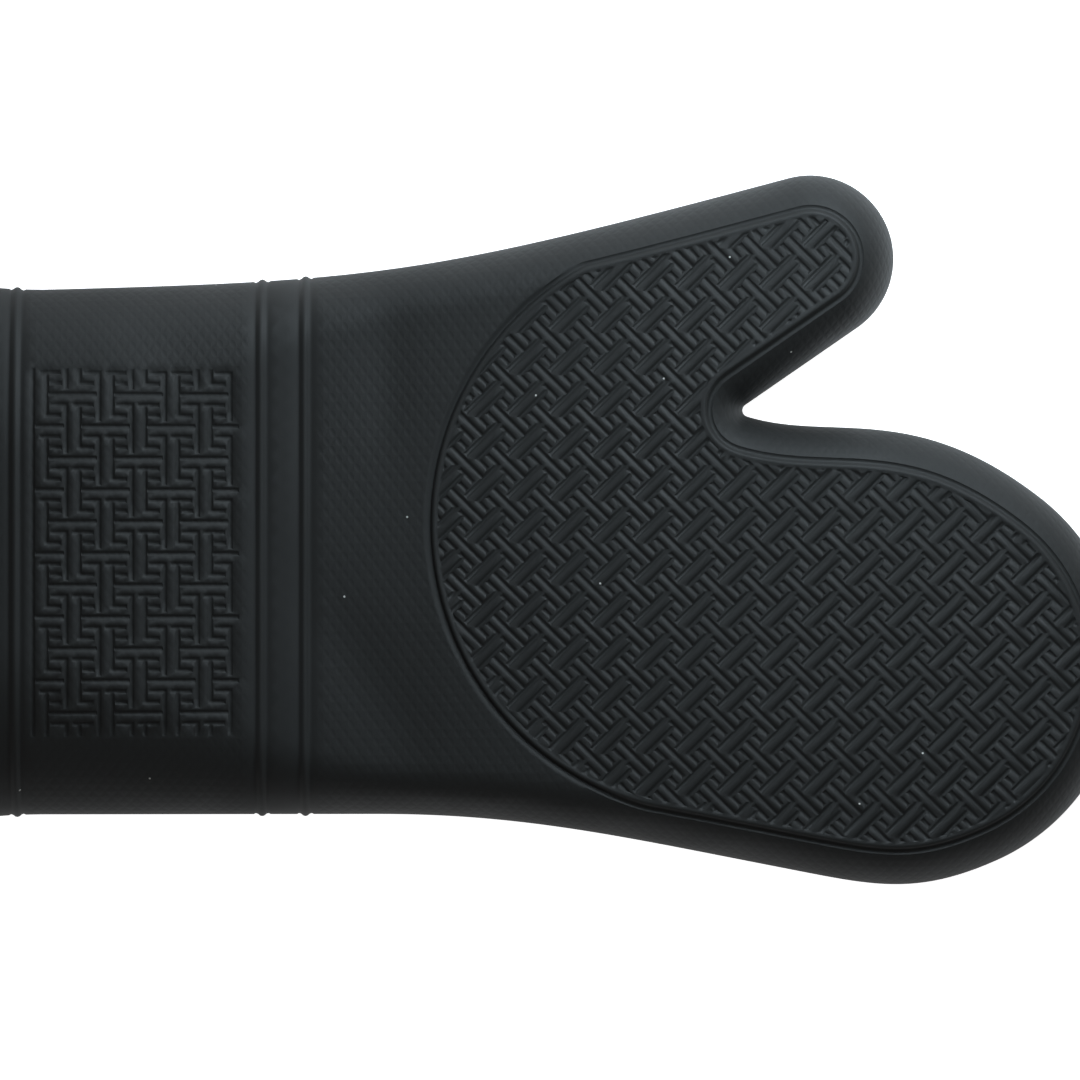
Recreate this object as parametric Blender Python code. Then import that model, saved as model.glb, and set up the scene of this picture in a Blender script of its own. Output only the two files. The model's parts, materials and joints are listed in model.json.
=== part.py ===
"""Moulded silicone oven mitt with a quilted cotton lining, lying flat, palm up.

The mitt is two silicone shell halves bonded along a parting line, and inside each half lies a quilt of
scrim, wadding and lining cloth. A binding closes the quilt's edge at the mouth, and a tape loop hangs it up.
Metres, +X from the cuff to the fingers, +Y towards the thumb, +Z up, origin under the middle of the whole.
"""
from math import cos, pi, radians, sin

import bmesh
import bpy
import numpy as np
from mathutils.geometry import delaunay_2d_cdt

# ---- Driving sizes, in metres ----
# Outline, seen from above. X runs from the cuff's mouth, Y from the cuff's centre line.
MITT_LENGTH = 0.2914
CUFF_WIDTH = 0.1310
MOUTH_FLARE = 0.0014          # how far the mouth stands out past the cuff, each side
FLARE_LENGTH = 0.022
CUFF_SLOPE = radians(1.6)     # the thumb side of the cuff opens slowly towards the hand
FINGER_END_RADIUS = 0.0532
FINGER_DROP = 0.0285          # centre of the finger end, away from the thumb
THUMB_RADIUS = 0.0209
THUMB_REACH = 0.0733          # centre of the thumb's tip, out from the centre line
THUMB_SETBACK = 0.0783        # and back from the finger end
THUMB_OUTER_SLOPE = radians(15.0)
THUMB_INNER_SLOPE = radians(34.6)
NOTCH_SETBACK = 0.0945        # root of the thumb, back from the finger end
NOTCH_RADIUS = 0.0016
HEEL_LENGTH = 0.105           # where the little-finger side leaves the cuff's straight edge
HEEL_SWELL_SETBACK = 0.0850   # the swell of that side, back from the finger end
HEEL_SWELL = 0.0790
HEEL_SWELL_SLOPE = radians(11.0)

# Thickness, with the mitt lying on its back.
HAND_THICKNESS = 0.034
FINGER_THICKNESS = 0.030
MOUTH_HEIGHT = 0.048
HAND_ROLL = 0.011             # width of the rounded edge, from the side to the flat face
MOUTH_ROLL = 0.044
CUFF_RUN = 0.118              # length over which the mouth's oval flattens into the hand

# Walls, from the outside in.
SHELL_WALL = 0.0020
BINDING_WALL = 0.0005
SCRIM_WALL = 0.0004
WADDING_WALL = 0.0028
LINING_WALL = 0.0005
CLEARANCE = 0.0003            # between every two pieces that touch on the real mitt

# Ribs round the cuff, and the trim at its mouth.
RIB_HEIGHT = 0.0005
RIB_WIDTH = 0.0022
RIB_POSITIONS = (0.0045, 0.0150, 0.0760, 0.0868)
BINDING_LEG = 0.0100
BINDING_FOLD = 0.0015
STITCH_RADIUS = 0.0004
STITCH_INSET = 0.0070
SEAM_TAPE_WIDTH = 0.0060
SEAM_TAPE_WALL = 0.0005

# Hanging loop: one cotton tape folded in two, sewn at the thumb-side corner of the mouth.
TAPE_WIDTH = 0.0100
TAPE_WALL = 0.0012
LOOP_LENGTH = 0.034
LOOP_END_RADIUS = 0.0090
LOOP_TAIL = 0.0100
BARTACK_HEIGHT = 0.0060
BARTACK_LENGTH = 0.0022
BARTACK_RISE = 0.0008

# ---- Fineness of the facets ----
ROLL_ANGLES = tuple(radians(a) for a in (0.0, 30.0, 60.0, 90.0))
CUFF_STATIONS = (0.030, 0.045, 0.060, 0.103)
GRID_STEP = 0.022

# ---- Walls measured from the outer face, one inside the other ----
BINDING_OUT = SHELL_WALL + CLEARANCE
SCRIM_OUT = BINDING_OUT + BINDING_WALL + CLEARANCE
WADDING_OUT = SCRIM_OUT + SCRIM_WALL + CLEARANCE
LINING_OUT = WADDING_OUT + WADDING_WALL + CLEARANCE
LINING_IN = LINING_OUT + LINING_WALL
TRIM_OUT = LINING_IN + CLEARANCE
TRIM_IN = TRIM_OUT + BINDING_WALL
STITCH_DEPTH = TRIM_IN + CLEARANCE + 1.2 * STITCH_RADIUS

HALF_CUFF = CUFF_WIDTH / 2
FINGER_CENTRE = np.array((MITT_LENGTH - FINGER_END_RADIUS, -FINGER_DROP))
THUMB_CENTRE = np.array((MITT_LENGTH - THUMB_SETBACK, THUMB_REACH))

COLOURS = {
    "silicone": ((0.020, 0.021, 0.022), 0.55),
    "scrim": ((0.62, 0.61, 0.58), 0.95),
    "wadding": ((0.80, 0.80, 0.78), 1.00),
    "lining_cotton": ((0.42, 0.43, 0.44), 0.90),
    "binding_tape": ((0.030, 0.030, 0.032), 0.90),
    "loop_tape": ((0.035, 0.035, 0.037), 0.90),
    "thread": ((0.10, 0.10, 0.105), 0.80),
}


# ---- Outline ----
def heading(angle):
    """The unit vector at an angle from +X."""
    return np.array((cos(angle), sin(angle)))


def smooth(t):
    """A ramp from 0 to 1 with level ends."""
    t = min(max(t, 0.0), 1.0)
    return t * t * (3 - 2 * t)


def bezier(start, start_pull, end_pull, end, steps):
    """Points of a cubic curve; the pulls are vectors from the two ends to their handles."""
    a, b = start + start_pull, end + end_pull
    ts = np.linspace(0, 1, steps + 1)[:, None]
    return start * (1 - ts)**3 + 3 * a * ts * (1 - ts)**2 + 3 * b * ts**2 * (1 - ts) + end * ts**3


def arc(centre, radius, first, last, steps):
    return np.array([centre + radius * heading(a) for a in np.linspace(first, last, steps + 1)])


def thumb_side(steps):
    """The edge from the mouth along the cuff to the thumb's round tip."""
    thumb_start = THUMB_CENTRE + THUMB_RADIUS * heading(THUMB_OUTER_SLOPE + pi / 2)
    cuff_end = np.array((FLARE_LENGTH, HALF_CUFF))
    run = thumb_start[0] - FLARE_LENGTH
    return bezier(cuff_end, 0.45 * run * heading(CUFF_SLOPE),
                  -0.50 * run * heading(THUMB_OUTER_SLOPE), thumb_start, steps)


def heel_side(steps):
    """The little-finger side, from its swell back to the cuff's straight edge."""
    swell = np.array((MITT_LENGTH - HEEL_SWELL_SETBACK, -HEEL_SWELL))
    heel = np.array((HEEL_LENGTH, -HALF_CUFF))
    run = swell[0] - heel[0]
    return bezier(swell, 0.40 * run * heading(pi - HEEL_SWELL_SLOPE), np.array((0.36 * run, 0.0)), heel, steps)


def cuff_edge(x, side_line):
    """How far the edge stands from the centre line at x, on the cuff."""
    if x < FLARE_LENGTH:
        return HALF_CUFF + MOUTH_FLARE * (1 - x / FLARE_LENGTH)**2
    return float(np.interp(x, side_line[:, 0], np.abs(side_line[:, 1])))


def hand_edge():
    """The edge round the thumb, the notch and the fingers, from one end of the cuff to the other."""
    thumb_line = thumb_side(60)
    # The last point is left out, because the thumb's arc starts with it.
    outer = thumb_line[thumb_line[:, 0] > CUFF_RUN + 0.004][:-1:5]
    thumb = arc(THUMB_CENTRE, THUMB_RADIUS, THUMB_OUTER_SLOPE + pi / 2, THUMB_INNER_SLOPE - pi / 2, 8)

    # The notch is a small arc that touches the thumb's inner edge and the top of the hand.
    inward = heading(THUMB_INNER_SLOPE + pi)
    reach = thumb[-1][0] - (MITT_LENGTH - NOTCH_SETBACK)
    root = thumb[-1] + inward * reach / cos(THUMB_INNER_SLOPE)
    hand_slope = radians(-17.0)
    notch_centre = root + NOTCH_RADIUS * heading(THUMB_INNER_SLOPE - pi / 2)
    notch = arc(notch_centre, NOTCH_RADIUS, THUMB_INNER_SLOPE + pi / 2, hand_slope + 1.5 * pi, 5)
    inner = np.linspace(thumb[-1], notch[0], 4)

    fingers = arc(FINGER_CENTRE, FINGER_END_RADIUS, radians(52), radians(-66), 10)
    run = fingers[0][0] - notch[-1][0]
    knuckle = bezier(notch[-1], 0.30 * run * heading(hand_slope),
                     0.55 * run * heading(radians(52 + 90)), fingers[0], 6)
    heel = heel_side(60)
    run = fingers[-1][0] - heel[0][0]
    swell = bezier(fingers[-1], 0.42 * run * heading(radians(-66 - 90)),
                   0.42 * run * heading(-HEEL_SWELL_SLOPE), heel[0], 4)
    lower = heel[heel[:, 0] > CUFF_RUN + 0.004][::9]
    return np.vstack((outer, thumb[:-1], inner[:-1], notch[:-1], knuckle[:-1], fingers[:-1], swell[:-1], lower))


def outline(stations):
    """The whole edge as points and outward normals, from the mouth's thumb side to its other side."""
    thumb_line = thumb_side(60)
    heel_line = heel_side(60)[::-1]
    upper = [(x, cuff_edge(x, thumb_line)) for x in stations]
    lower = [(x, -cuff_edge(x, heel_line)) for x in reversed(stations)]
    points = np.vstack((upper, hand_edge(), lower))
    ahead = np.vstack((points[1:], points[-1:])) - np.vstack((points[:1], points[:-1]))
    normals = np.column_stack((-ahead[:, 1], ahead[:, 0]))
    normals /= np.linalg.norm(normals, axis=1)[:, None]
    count = len(stations)
    normals[:count] = (0.0, 1.0)
    normals[-count:] = (0.0, -1.0)
    return points, normals


# ---- Form of the mitt, as heights and widths along X ----
def thickness(x):
    hand = FINGER_THICKNESS + (HAND_THICKNESS - FINGER_THICKNESS) * smooth((MITT_LENGTH - x) / 0.12)
    return hand + (MOUTH_HEIGHT - HAND_THICKNESS) * smooth(1 - x / CUFF_RUN)


def roll(x):
    return HAND_ROLL + (MOUTH_ROLL - HAND_ROLL) * smooth(1 - x / CUFF_RUN)


def rib(x):
    """Height of the ribs at x."""
    near = min(abs(x - place) for place in RIB_POSITIONS)
    return RIB_HEIGHT * max(0.0, 1 - 2 * near / RIB_WIDTH)


def surface_point(point, normal, angle, depth, side, split=CLEARANCE / 2, bump=0.0):
    """A point `depth` inside the mitt's face, `angle` up from the parting line; side is +1 above, -1 below."""
    width = roll(point[0])
    inset = depth + (width - depth) * (1 - cos(angle)) - bump * cos(angle)
    x, y = point - normal * inset
    half = thickness(x) / 2
    lift = bump * sin(angle) if side > 0 else 0.0
    return (x, y, half + side * (split + (half - split - depth) * sin(angle)) + lift)


def shell_stations():
    ribs = [place + step * RIB_WIDTH / 2 for place in RIB_POSITIONS for step in (-1, 0, 1)]
    return sorted({0.0, CUFF_RUN, *CUFF_STATIONS, *ribs})


def lining_stations():
    return sorted({0.0, 0.0150, *CUFF_STATIONS, 0.0800, CUFF_RUN})


SHELL_OUTLINE = outline(shell_stations())
LINING_OUTLINE = outline(lining_stations())

# The loop is sewn inside the mouth's corner on the thumb side.
TAPE_PAIR = 2 * TAPE_WALL
LOOP_HEIGHT = thickness(0.0) / 2


def tape_side():
    """The loop's centre line in Y: its two layers lie against the binding's stitches over the tape's width."""
    depth = STITCH_DEPTH + STITCH_RADIUS
    step = (thickness(LOOP_TAIL) / 2 - depth) * sin(ROLL_ANGLES[1])
    slant = (roll(0.0) - depth) * (1 - cos(ROLL_ANGLES[1])) / step
    return cuff_edge(LOOP_TAIL, thumb_side(60)) - depth - slant * TAPE_WIDTH / 2 - CLEARANCE - TAPE_PAIR / 2


TAIL_END = -BINDING_FOLD - CLEARANCE
PIVOT = np.array((TAIL_END - CLEARANCE - TAPE_PAIR / 2, tape_side()))

# The origin lies under the middle of the whole, with the loop counted.
LOW = np.array((PIVOT[0] - LOOP_LENGTH, SHELL_OUTLINE[0][:, 1].min()))
HIGH = SHELL_OUTLINE[0].max(axis=0)
ORIGIN = np.array((*(LOW + HIGH) / 2, 0.0))


# ---- Scene ----
for old in list(bpy.data.objects):
    bpy.data.objects.remove(old, do_unlink=True)

mitt = bpy.data.collections.new("oven_mitt")
bpy.context.scene.collection.children.link(mitt)


def finish(obj, material_name):
    """Puts a piece in the mitt's collection with its own material."""
    colour, roughness = COLOURS[material_name]
    material = bpy.data.materials.new(obj.name + "_" + material_name)
    material.use_nodes = True
    shader = material.node_tree.nodes["Principled BSDF"]
    shader.inputs["Base Color"].default_value = (*colour, 1.0)
    shader.inputs["Roughness"].default_value = roughness
    shader.inputs["Metallic"].default_value = 0.0
    obj.data.materials.append(material)
    mitt.objects.link(obj)
    return obj


def mesh_piece(name, material_name, verts, faces):
    mesh = bpy.data.meshes.new(name)
    mesh.from_pydata([tuple(np.array(v) - ORIGIN) for v in verts], [], faces)
    bm = bmesh.new()
    bm.from_mesh(mesh)
    bmesh.ops.recalc_face_normals(bm, faces=bm.faces)
    bm.to_mesh(mesh)
    bm.free()
    mesh.shade_smooth()
    mesh.set_sharp_from_angle(angle=radians(35))
    return finish(bpy.data.objects.new(name, mesh), material_name)


# ---- Trays: one half of the shell, or one half of a layer of the quilt ----
def flat_face(edge, stations):
    """Triangles of the level face inside the rolled edge, with its extra points; shared by every layer."""
    points, normals = edge
    rim = [tuple(p - n * roll(p[0])) for p, n in zip(points, normals)]
    lines = [(i, len(rim) - 1 - i) for i in range(1, stations)]
    xs, ys = zip(*rim)
    inner = []
    for x in np.arange(CUFF_RUN + GRID_STEP / 2, max(xs), GRID_STEP):
        for y in np.arange(min(ys), max(ys), GRID_STEP):
            if inside((x, y), rim) and min(np.hypot(x - px, y - py) for px, py in rim) > 0.4 * GRID_STEP:
                inner.append((x, y))
    verts, _, faces, origin, _, _ = delaunay_2d_cdt(rim + inner, lines, [list(range(len(rim)))], 1, 1e-7)
    known = {new: old[0] for new, old in enumerate(origin)}
    return inner, [[known[v] for v in face] for face in faces]


def inside(point, loop):
    """Whether a point lies inside a closed outline."""
    x, y = point
    hit = False
    for (ax, ay), (bx, by) in zip(loop, loop[1:] + loop[:1]):
        if (ay > y) != (by > y) and x < ax + (y - ay) * (bx - ax) / (by - ay):
            hit = not hit
    return hit


def tray(name, material_name, edge, stations, side, outer, inner, ribs=False):
    """A half shell between two depths, open at the mouth and at the parting line."""
    points, normals = edge
    levels = len(ROLL_ANGLES)
    count = len(points)
    extra, triangles = flat_face(edge, stations)
    verts, faces = [], []
    for depth, bump in ((outer, ribs), (inner, False)):
        for point, normal in zip(points, normals):
            raised = rib(point[0]) if bump else 0.0
            verts += [surface_point(point, normal, a, depth, side, bump=raised) for a in ROLL_ANGLES]
        for x, y in extra:
            half = thickness(x) / 2
            verts.append((x, y, half + side * (half - depth)))

    skin = count * levels + len(extra)
    for start in (0, skin):
        at = lambda k, level: start + k * levels + level
        for k in range(count - 1):
            for level in range(levels - 1):
                faces.append((at(k, level), at(k + 1, level), at(k + 1, level + 1), at(k, level + 1)))
        top = [at(k, levels - 1) for k in range(count)] + list(range(start + count * levels, start + skin))
        faces += [tuple(top[v] for v in triangle) for triangle in triangles]

    # The parting face, and the mouth's edge that runs up one side, across and down the other.
    parting = [k * levels for k in range(count)]
    mouth = list(range(levels)) + [(count - 1) * levels + level for level in reversed(range(levels))]
    for path in (parting, mouth):
        faces += [(a, b, b + skin, a + skin) for a, b in zip(path, path[1:])]
    return mesh_piece(name, material_name, verts, faces)


# The shell's two halves, then the three layers of each quilt.
LAYERS = (
    ("scrim", "scrim", SCRIM_OUT, SCRIM_OUT + SCRIM_WALL),
    ("wadding", "wadding", WADDING_OUT, WADDING_OUT + WADDING_WALL),
    ("lining", "lining_cotton", LINING_OUT, LINING_IN),
)
for half_name, side in (("palm", 1), ("back", -1)):
    tray(half_name + "_shell", "silicone", SHELL_OUTLINE, len(shell_stations()), side, 0.0, SHELL_WALL, ribs=True)
    for layer, cloth, outer, inner in LAYERS:
        tray(half_name + "_" + layer, cloth, LINING_OUTLINE, len(lining_stations()), side, outer, inner)


# ---- Rings round the mouth ----
def mouth_ring(x, depth):
    """The oval at x, `depth` inside the mitt's face, as a closed loop of points."""
    thumb_edge = np.array((max(x, 0.0), cuff_edge(max(x, 0.0), thumb_side(60))))
    heel_edge = np.array((max(x, 0.0), -cuff_edge(max(x, 0.0), heel_side(60)[::-1])))
    up = np.array((0.0, 1.0))
    ring = []
    for point, normal, side, angles in (
            (thumb_edge, up, 1, ROLL_ANGLES), (heel_edge, -up, 1, ROLL_ANGLES[::-1]),
            (heel_edge, -up, -1, ROLL_ANGLES[1:]), (thumb_edge, up, -1, ROLL_ANGLES[:0:-1])):
        for angle in angles:
            _, y, z = surface_point(point, normal, angle, depth, side, split=0.0)
            ring.append((x, y, z))
    return ring


def swept_ring(name, material_name, section):
    """A closed section, given as (x, depth) pairs, carried round the mouth."""
    rings = [mouth_ring(x, depth) for x, depth in section]
    count, turn = len(section), len(rings[0])
    verts = [v for ring in rings for v in ring]
    faces = []
    for s in range(count):
        for t in range(turn):
            here, beside = s * turn, ((s + 1) % count) * turn
            after = (t + 1) % turn
            faces.append((here + t, here + after, beside + after, beside + t))
    return mesh_piece(name, material_name, verts, faces)


BEND = 0.3 * (TRIM_IN - BINDING_OUT)
swept_ring("cuff_binding", "binding_tape", (
    (BINDING_LEG, BINDING_OUT), (-CLEARANCE, BINDING_OUT),
    (-BINDING_FOLD, BINDING_OUT + BEND), (-BINDING_FOLD, TRIM_IN - BEND), (-CLEARANCE, TRIM_IN),
    (BINDING_LEG, TRIM_IN), (BINDING_LEG, TRIM_OUT),
    (-CLEARANCE, TRIM_OUT), (-CLEARANCE, BINDING_OUT + BINDING_WALL),
    (BINDING_LEG, BINDING_OUT + BINDING_WALL)))


def wire(name, material_name, points, radius, cyclic):
    """A thread along a list of points."""
    curve = bpy.data.curves.new(name, "CURVE")
    curve.dimensions = "3D"
    spline = curve.splines.new("POLY")
    spline.points.add(len(points) - 1)
    for target, point in zip(spline.points, points):
        target.co = (*(np.array(point) - ORIGIN), 1.0)
    spline.use_cyclic_u = cyclic
    curve.bevel_depth = radius
    curve.bevel_resolution = 1
    curve.use_fill_caps = not cyclic
    return finish(bpy.data.objects.new(name, curve), material_name)


wire("binding_stitching", "thread",
     mouth_ring(STITCH_INSET, STITCH_DEPTH), STITCH_RADIUS, cyclic=True)


# ---- Seam tape: a narrow woven strip over the join of the two linings ----
def tape_line(point, normal, depth):
    """The tape's upper edge, middle and lower edge at one point of the seam."""
    half = thickness(point[0]) / 2
    # The tape leans with the lining: its edges sit on the first facet above and below the seam.
    lean = (roll(point[0]) - depth) * (1 - cos(ROLL_ANGLES[1]))
    lean *= SEAM_TAPE_WIDTH / 2 / ((half - depth) * sin(ROLL_ANGLES[1]))
    line = []
    for side in (1, 0, -1):
        x, y = point - normal * (depth + abs(side) * lean)
        line.append((x, y, half + side * SEAM_TAPE_WIDTH / 2))
    return line


def seam_tape():
    points, normals = LINING_OUTLINE
    sections = []
    for point, normal in zip(points, normals):
        sections.append(np.array([tape_line(point, normal, d) for d in (TRIM_OUT, TRIM_OUT + SEAM_TAPE_WALL)]))
    # It starts and ends just behind the binding.
    share = (BINDING_LEG + CLEARANCE) / points[1][0]
    sections[0] += (sections[1] - sections[0]) * share
    sections[-1] += (sections[-2] - sections[-1]) * share
    verts = [v for section in sections for line in section for v in line]
    ring = (0, 1, 2, 5, 4, 3)
    faces = []
    for base in range(0, len(verts) - 6, 6):
        for a, b in zip(ring, ring[1:] + ring[:1]):
            faces.append((base + a, base + b, base + 6 + b, base + 6 + a))
    for base in (0, len(verts) - 6):
        faces += [(base, base + 1, base + 4, base + 3), (base + 1, base + 2, base + 5, base + 4)]
    return mesh_piece("seam_tape", "binding_tape", verts, faces)


seam_tape()


# ---- Hanging loop ----
def teardrop(start_radius, end_radius, reach, steps):
    """A closed outline round two circles, the small one on the loop's axis, the large one `reach` away."""
    lean = np.arcsin((end_radius - start_radius) / reach)
    small = arc(np.zeros(2), start_radius, -pi / 2 + lean, pi / 2 - lean, steps)
    large = arc(np.array((-reach, 0.0)), end_radius, pi / 2 - lean, 1.5 * pi + lean, 2 * steps)
    return np.vstack((small, large))


def flat_curve(name, material_name, outlines, height, place):
    """A plate with its outlines in XY, some of them holes, and its thickness along Z."""
    curve = bpy.data.curves.new(name, "CURVE")
    curve.dimensions = "2D"
    curve.fill_mode = "BOTH"
    curve.extrude = height / 2
    for loop in outlines:
        spline = curve.splines.new("POLY")
        spline.points.add(len(loop) - 1)
        for target, (x, y) in zip(spline.points, loop):
            target.co = (x, y, 0.0, 1.0)
        spline.use_cyclic_u = True
    obj = finish(bpy.data.objects.new(name, curve), material_name)
    obj.location = place
    return obj


pivot_place = (*(PIVOT - ORIGIN[:2]), LOOP_HEIGHT)
loop_reach = LOOP_LENGTH - LOOP_END_RADIUS
eye_shift = np.array((-2 * TAPE_PAIR, 0.0))
flat_curve("hanging_loop", "loop_tape", (
    teardrop(TAPE_PAIR / 2, LOOP_END_RADIUS, loop_reach, 6),
    teardrop(0.25 * TAPE_PAIR, LOOP_END_RADIUS - TAPE_WALL, loop_reach + eye_shift[0], 6) + eye_shift,
), TAPE_WIDTH, pivot_place)


def box(name, material_name, low, high):
    """A block between two corners."""
    low, high = np.array(low), np.array(high)
    bm = bmesh.new()
    bmesh.ops.create_cube(bm, size=1.0)
    bmesh.ops.scale(bm, vec=high - low, verts=bm.verts)
    mesh = bpy.data.meshes.new(name)
    bm.to_mesh(mesh)
    bm.free()
    obj = finish(bpy.data.objects.new(name, mesh), material_name)
    obj.location = (low + high) / 2 - ORIGIN
    return obj


box("loop_tail", "loop_tape",
    (TAIL_END, PIVOT[1] - TAPE_PAIR / 2, LOOP_HEIGHT - TAPE_WIDTH / 2),
    (LOOP_TAIL, PIVOT[1] + TAPE_PAIR / 2, LOOP_HEIGHT + TAPE_WIDTH / 2))
tack_face = PIVOT[1] - TAPE_PAIR / 2 - CLEARANCE
box("loop_bartack", "thread",
    (STITCH_INSET - BARTACK_LENGTH / 2, tack_face - BARTACK_RISE, LOOP_HEIGHT - BARTACK_HEIGHT / 2),
    (STITCH_INSET + BARTACK_LENGTH / 2, tack_face, LOOP_HEIGHT + BARTACK_HEIGHT / 2))
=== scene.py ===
import json
from math import atan2, cos, pi, radians, sin

import bmesh
import bpy
import numpy as np
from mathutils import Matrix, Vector
from mathutils.geometry import delaunay_2d_cdt


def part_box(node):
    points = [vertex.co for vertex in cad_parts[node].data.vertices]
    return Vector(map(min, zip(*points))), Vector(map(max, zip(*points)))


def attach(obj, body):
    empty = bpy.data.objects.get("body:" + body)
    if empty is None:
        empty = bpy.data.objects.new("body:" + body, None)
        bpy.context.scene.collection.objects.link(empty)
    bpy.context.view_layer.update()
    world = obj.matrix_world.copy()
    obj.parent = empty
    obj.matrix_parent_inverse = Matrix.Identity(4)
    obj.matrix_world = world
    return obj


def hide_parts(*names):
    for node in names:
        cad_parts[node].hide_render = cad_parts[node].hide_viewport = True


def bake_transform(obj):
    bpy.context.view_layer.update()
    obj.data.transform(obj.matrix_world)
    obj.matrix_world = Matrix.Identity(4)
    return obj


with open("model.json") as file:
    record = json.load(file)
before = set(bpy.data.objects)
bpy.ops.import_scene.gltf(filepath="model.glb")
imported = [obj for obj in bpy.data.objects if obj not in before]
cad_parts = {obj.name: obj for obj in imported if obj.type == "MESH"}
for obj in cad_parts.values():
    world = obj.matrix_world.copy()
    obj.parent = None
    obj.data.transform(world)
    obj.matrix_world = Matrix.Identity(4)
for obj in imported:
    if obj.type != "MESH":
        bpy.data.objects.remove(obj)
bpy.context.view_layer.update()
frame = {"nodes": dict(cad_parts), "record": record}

# ---- Studio ----
# A plain white table under soft window light from the thumb's side, with the camera looking straight down.
# The picture takes in the hand and most of the cuff; the mouth and the fingertips run just out of it.
shell_low, shell_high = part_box("palm_shell")
binding_low, binding_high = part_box("cuff_binding")
MOUTH = np.array((shell_low.x, (binding_low.y + binding_high.y) / 2))
MITT_LENGTH = shell_high.x - shell_low.x

PICTURE_WIDTH = 0.270
PICTURE_SHIFT = (-0.0002, 0.0030)
CAMERA_HEIGHT = 4.00
SENSOR = 36.0
PARTING_HEIGHT = 0.017
WALL_LIGHT, OVERHEAD_LIGHT, OVERHEAD_FROM = 0.44, 0.10, 0.75
ROOM_LEVEL, WINDOW_SIDE_MORE = 0.85, 0.30
TABLE_SIZE, TABLE_DROP = 8.0, 0.0002
TABLE_SHOWN_MORE, TABLE_GLOW = 0.54, 0.46
WHITE = (1.0, 1.0, 1.0, 1.0)


def add_object(name, data):
    """A new object in the scene."""
    made = bpy.data.objects.new(name, data)
    bpy.context.scene.collection.objects.link(made)
    return made


def soft_light(name, place, aim, size, power, colour):
    """A square softbox at a place, turned to a point."""
    data = bpy.data.lights.new(name, "AREA")
    data.shape, data.size, data.energy, data.color = "SQUARE", size, power, colour
    light = add_object(name, data)
    light.location = place
    light.rotation_euler = (Vector(aim) - Vector(place)).to_track_quat("-Z", "Y").to_euler()


def plug(tree, value, socket):
    """Links an output to a socket, or gives the socket a plain value."""
    if isinstance(value, bpy.types.NodeSocket):
        tree.links.new(value, socket)
    else:
        socket.default_value = value


def node(tree, kind, sockets=(), **settings):
    """Adds a shader node; sockets gives its inputs, each as a value or as an output to link."""
    made = tree.nodes.new("ShaderNode" + kind)
    for name, value in settings.items():
        setattr(made, name, value)
    for name, value in dict(sockets).items():
        plug(tree, value, made.inputs[name])
    return made


def maths(tree, operation, *values):
    """One step of arithmetic; each value is a number or an output."""
    return node(tree, "Math", dict(enumerate(values)), operation=operation).outputs[0]


def split(tree, vector):
    """A vector's X, Y and Z."""
    return node(tree, "SeparateXYZ", {"Vector": vector}).outputs


def new_material(name, roughness, **plain):
    """A material with a Principled shader; plain gives the values that are the same all over."""
    material = bpy.data.materials.new(name)
    material.use_nodes = True
    shader = material.node_tree.nodes["Principled BSDF"]
    shader.inputs["Roughness"].default_value = roughness
    for socket, value in plain.items():
        shader.inputs[socket.replace("_", " ")].default_value = value
    return material, material.node_tree, shader.inputs


camera_data = bpy.data.cameras.new("camera")
camera_data.sensor_width = SENSOR
camera_data.lens = SENSOR * CAMERA_HEIGHT / PICTURE_WIDTH
camera = add_object("camera", camera_data)
camera.location = (MOUTH[0] + MITT_LENGTH / 2 + PICTURE_SHIFT[0], MOUTH[1] + PICTURE_SHIFT[1],
                   PARTING_HEIGHT + CAMERA_HEIGHT)
bpy.context.scene.camera = camera
bpy.context.scene.view_settings.view_transform = "Standard"

soft_light("lamp", (0.17, 0.21, 0.25), (0.06, 0.06, 0.0), 0.22, 1.30, (0.79, 0.92, 1.0))
soft_light("window", (0.08, 0.60, 0.22), (0.03, 0.04, 0.02), 0.50, 1.6, (0.80, 0.92, 1.0))
soft_light("fill", (-0.30, -0.60, 1.30), (0.0, 0.0, 0.0), 1.20, 1.2, (1.0, 0.99, 0.97))

# The room is bright round the walls, most of all on the thumb's side, and dim overhead.
world = bpy.data.worlds.new("studio")
world.use_nodes = True
bpy.context.scene.world = world
air, sky = world.node_tree, world.node_tree.nodes["Background"].inputs
way = split(air, node(air, "TexCoord").outputs["Generated"])
wall = node(air, "MapRange", {"Value": way["Z"], "From Min": 0.0, "From Max": OVERHEAD_FROM,
                              "To Min": WALL_LIGHT, "To Max": OVERHEAD_LIGHT}).outputs["Result"]
window_side = maths(air, "MULTIPLY_ADD", way["Y"], WINDOW_SIDE_MORE, ROOM_LEVEL)
plug(air, WHITE, sky["Color"])
plug(air, maths(air, "MULTIPLY", wall, window_side), sky["Strength"])

# The table is seen as bright white, and throws less of that light back up on the black rubber.
bpy.ops.mesh.primitive_plane_add(size=TABLE_SIZE, location=(0.0, 0.0, -TABLE_DROP))
table_top = bpy.context.object
table_top.name = "table_top"
paint, paint_tree, paint_shader = new_material("white_table", 0.8, Base_Color=(0.80, 0.80, 0.80, 1.0),
                                               Emission_Color=WHITE)
seen = node(paint_tree, "LightPath").outputs["Is Camera Ray"]
plug(paint_tree, maths(paint_tree, "MULTIPLY_ADD", seen, TABLE_SHOWN_MORE, TABLE_GLOW),
     paint_shader["Emission Strength"])
table_top.data.materials.append(paint)


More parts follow.
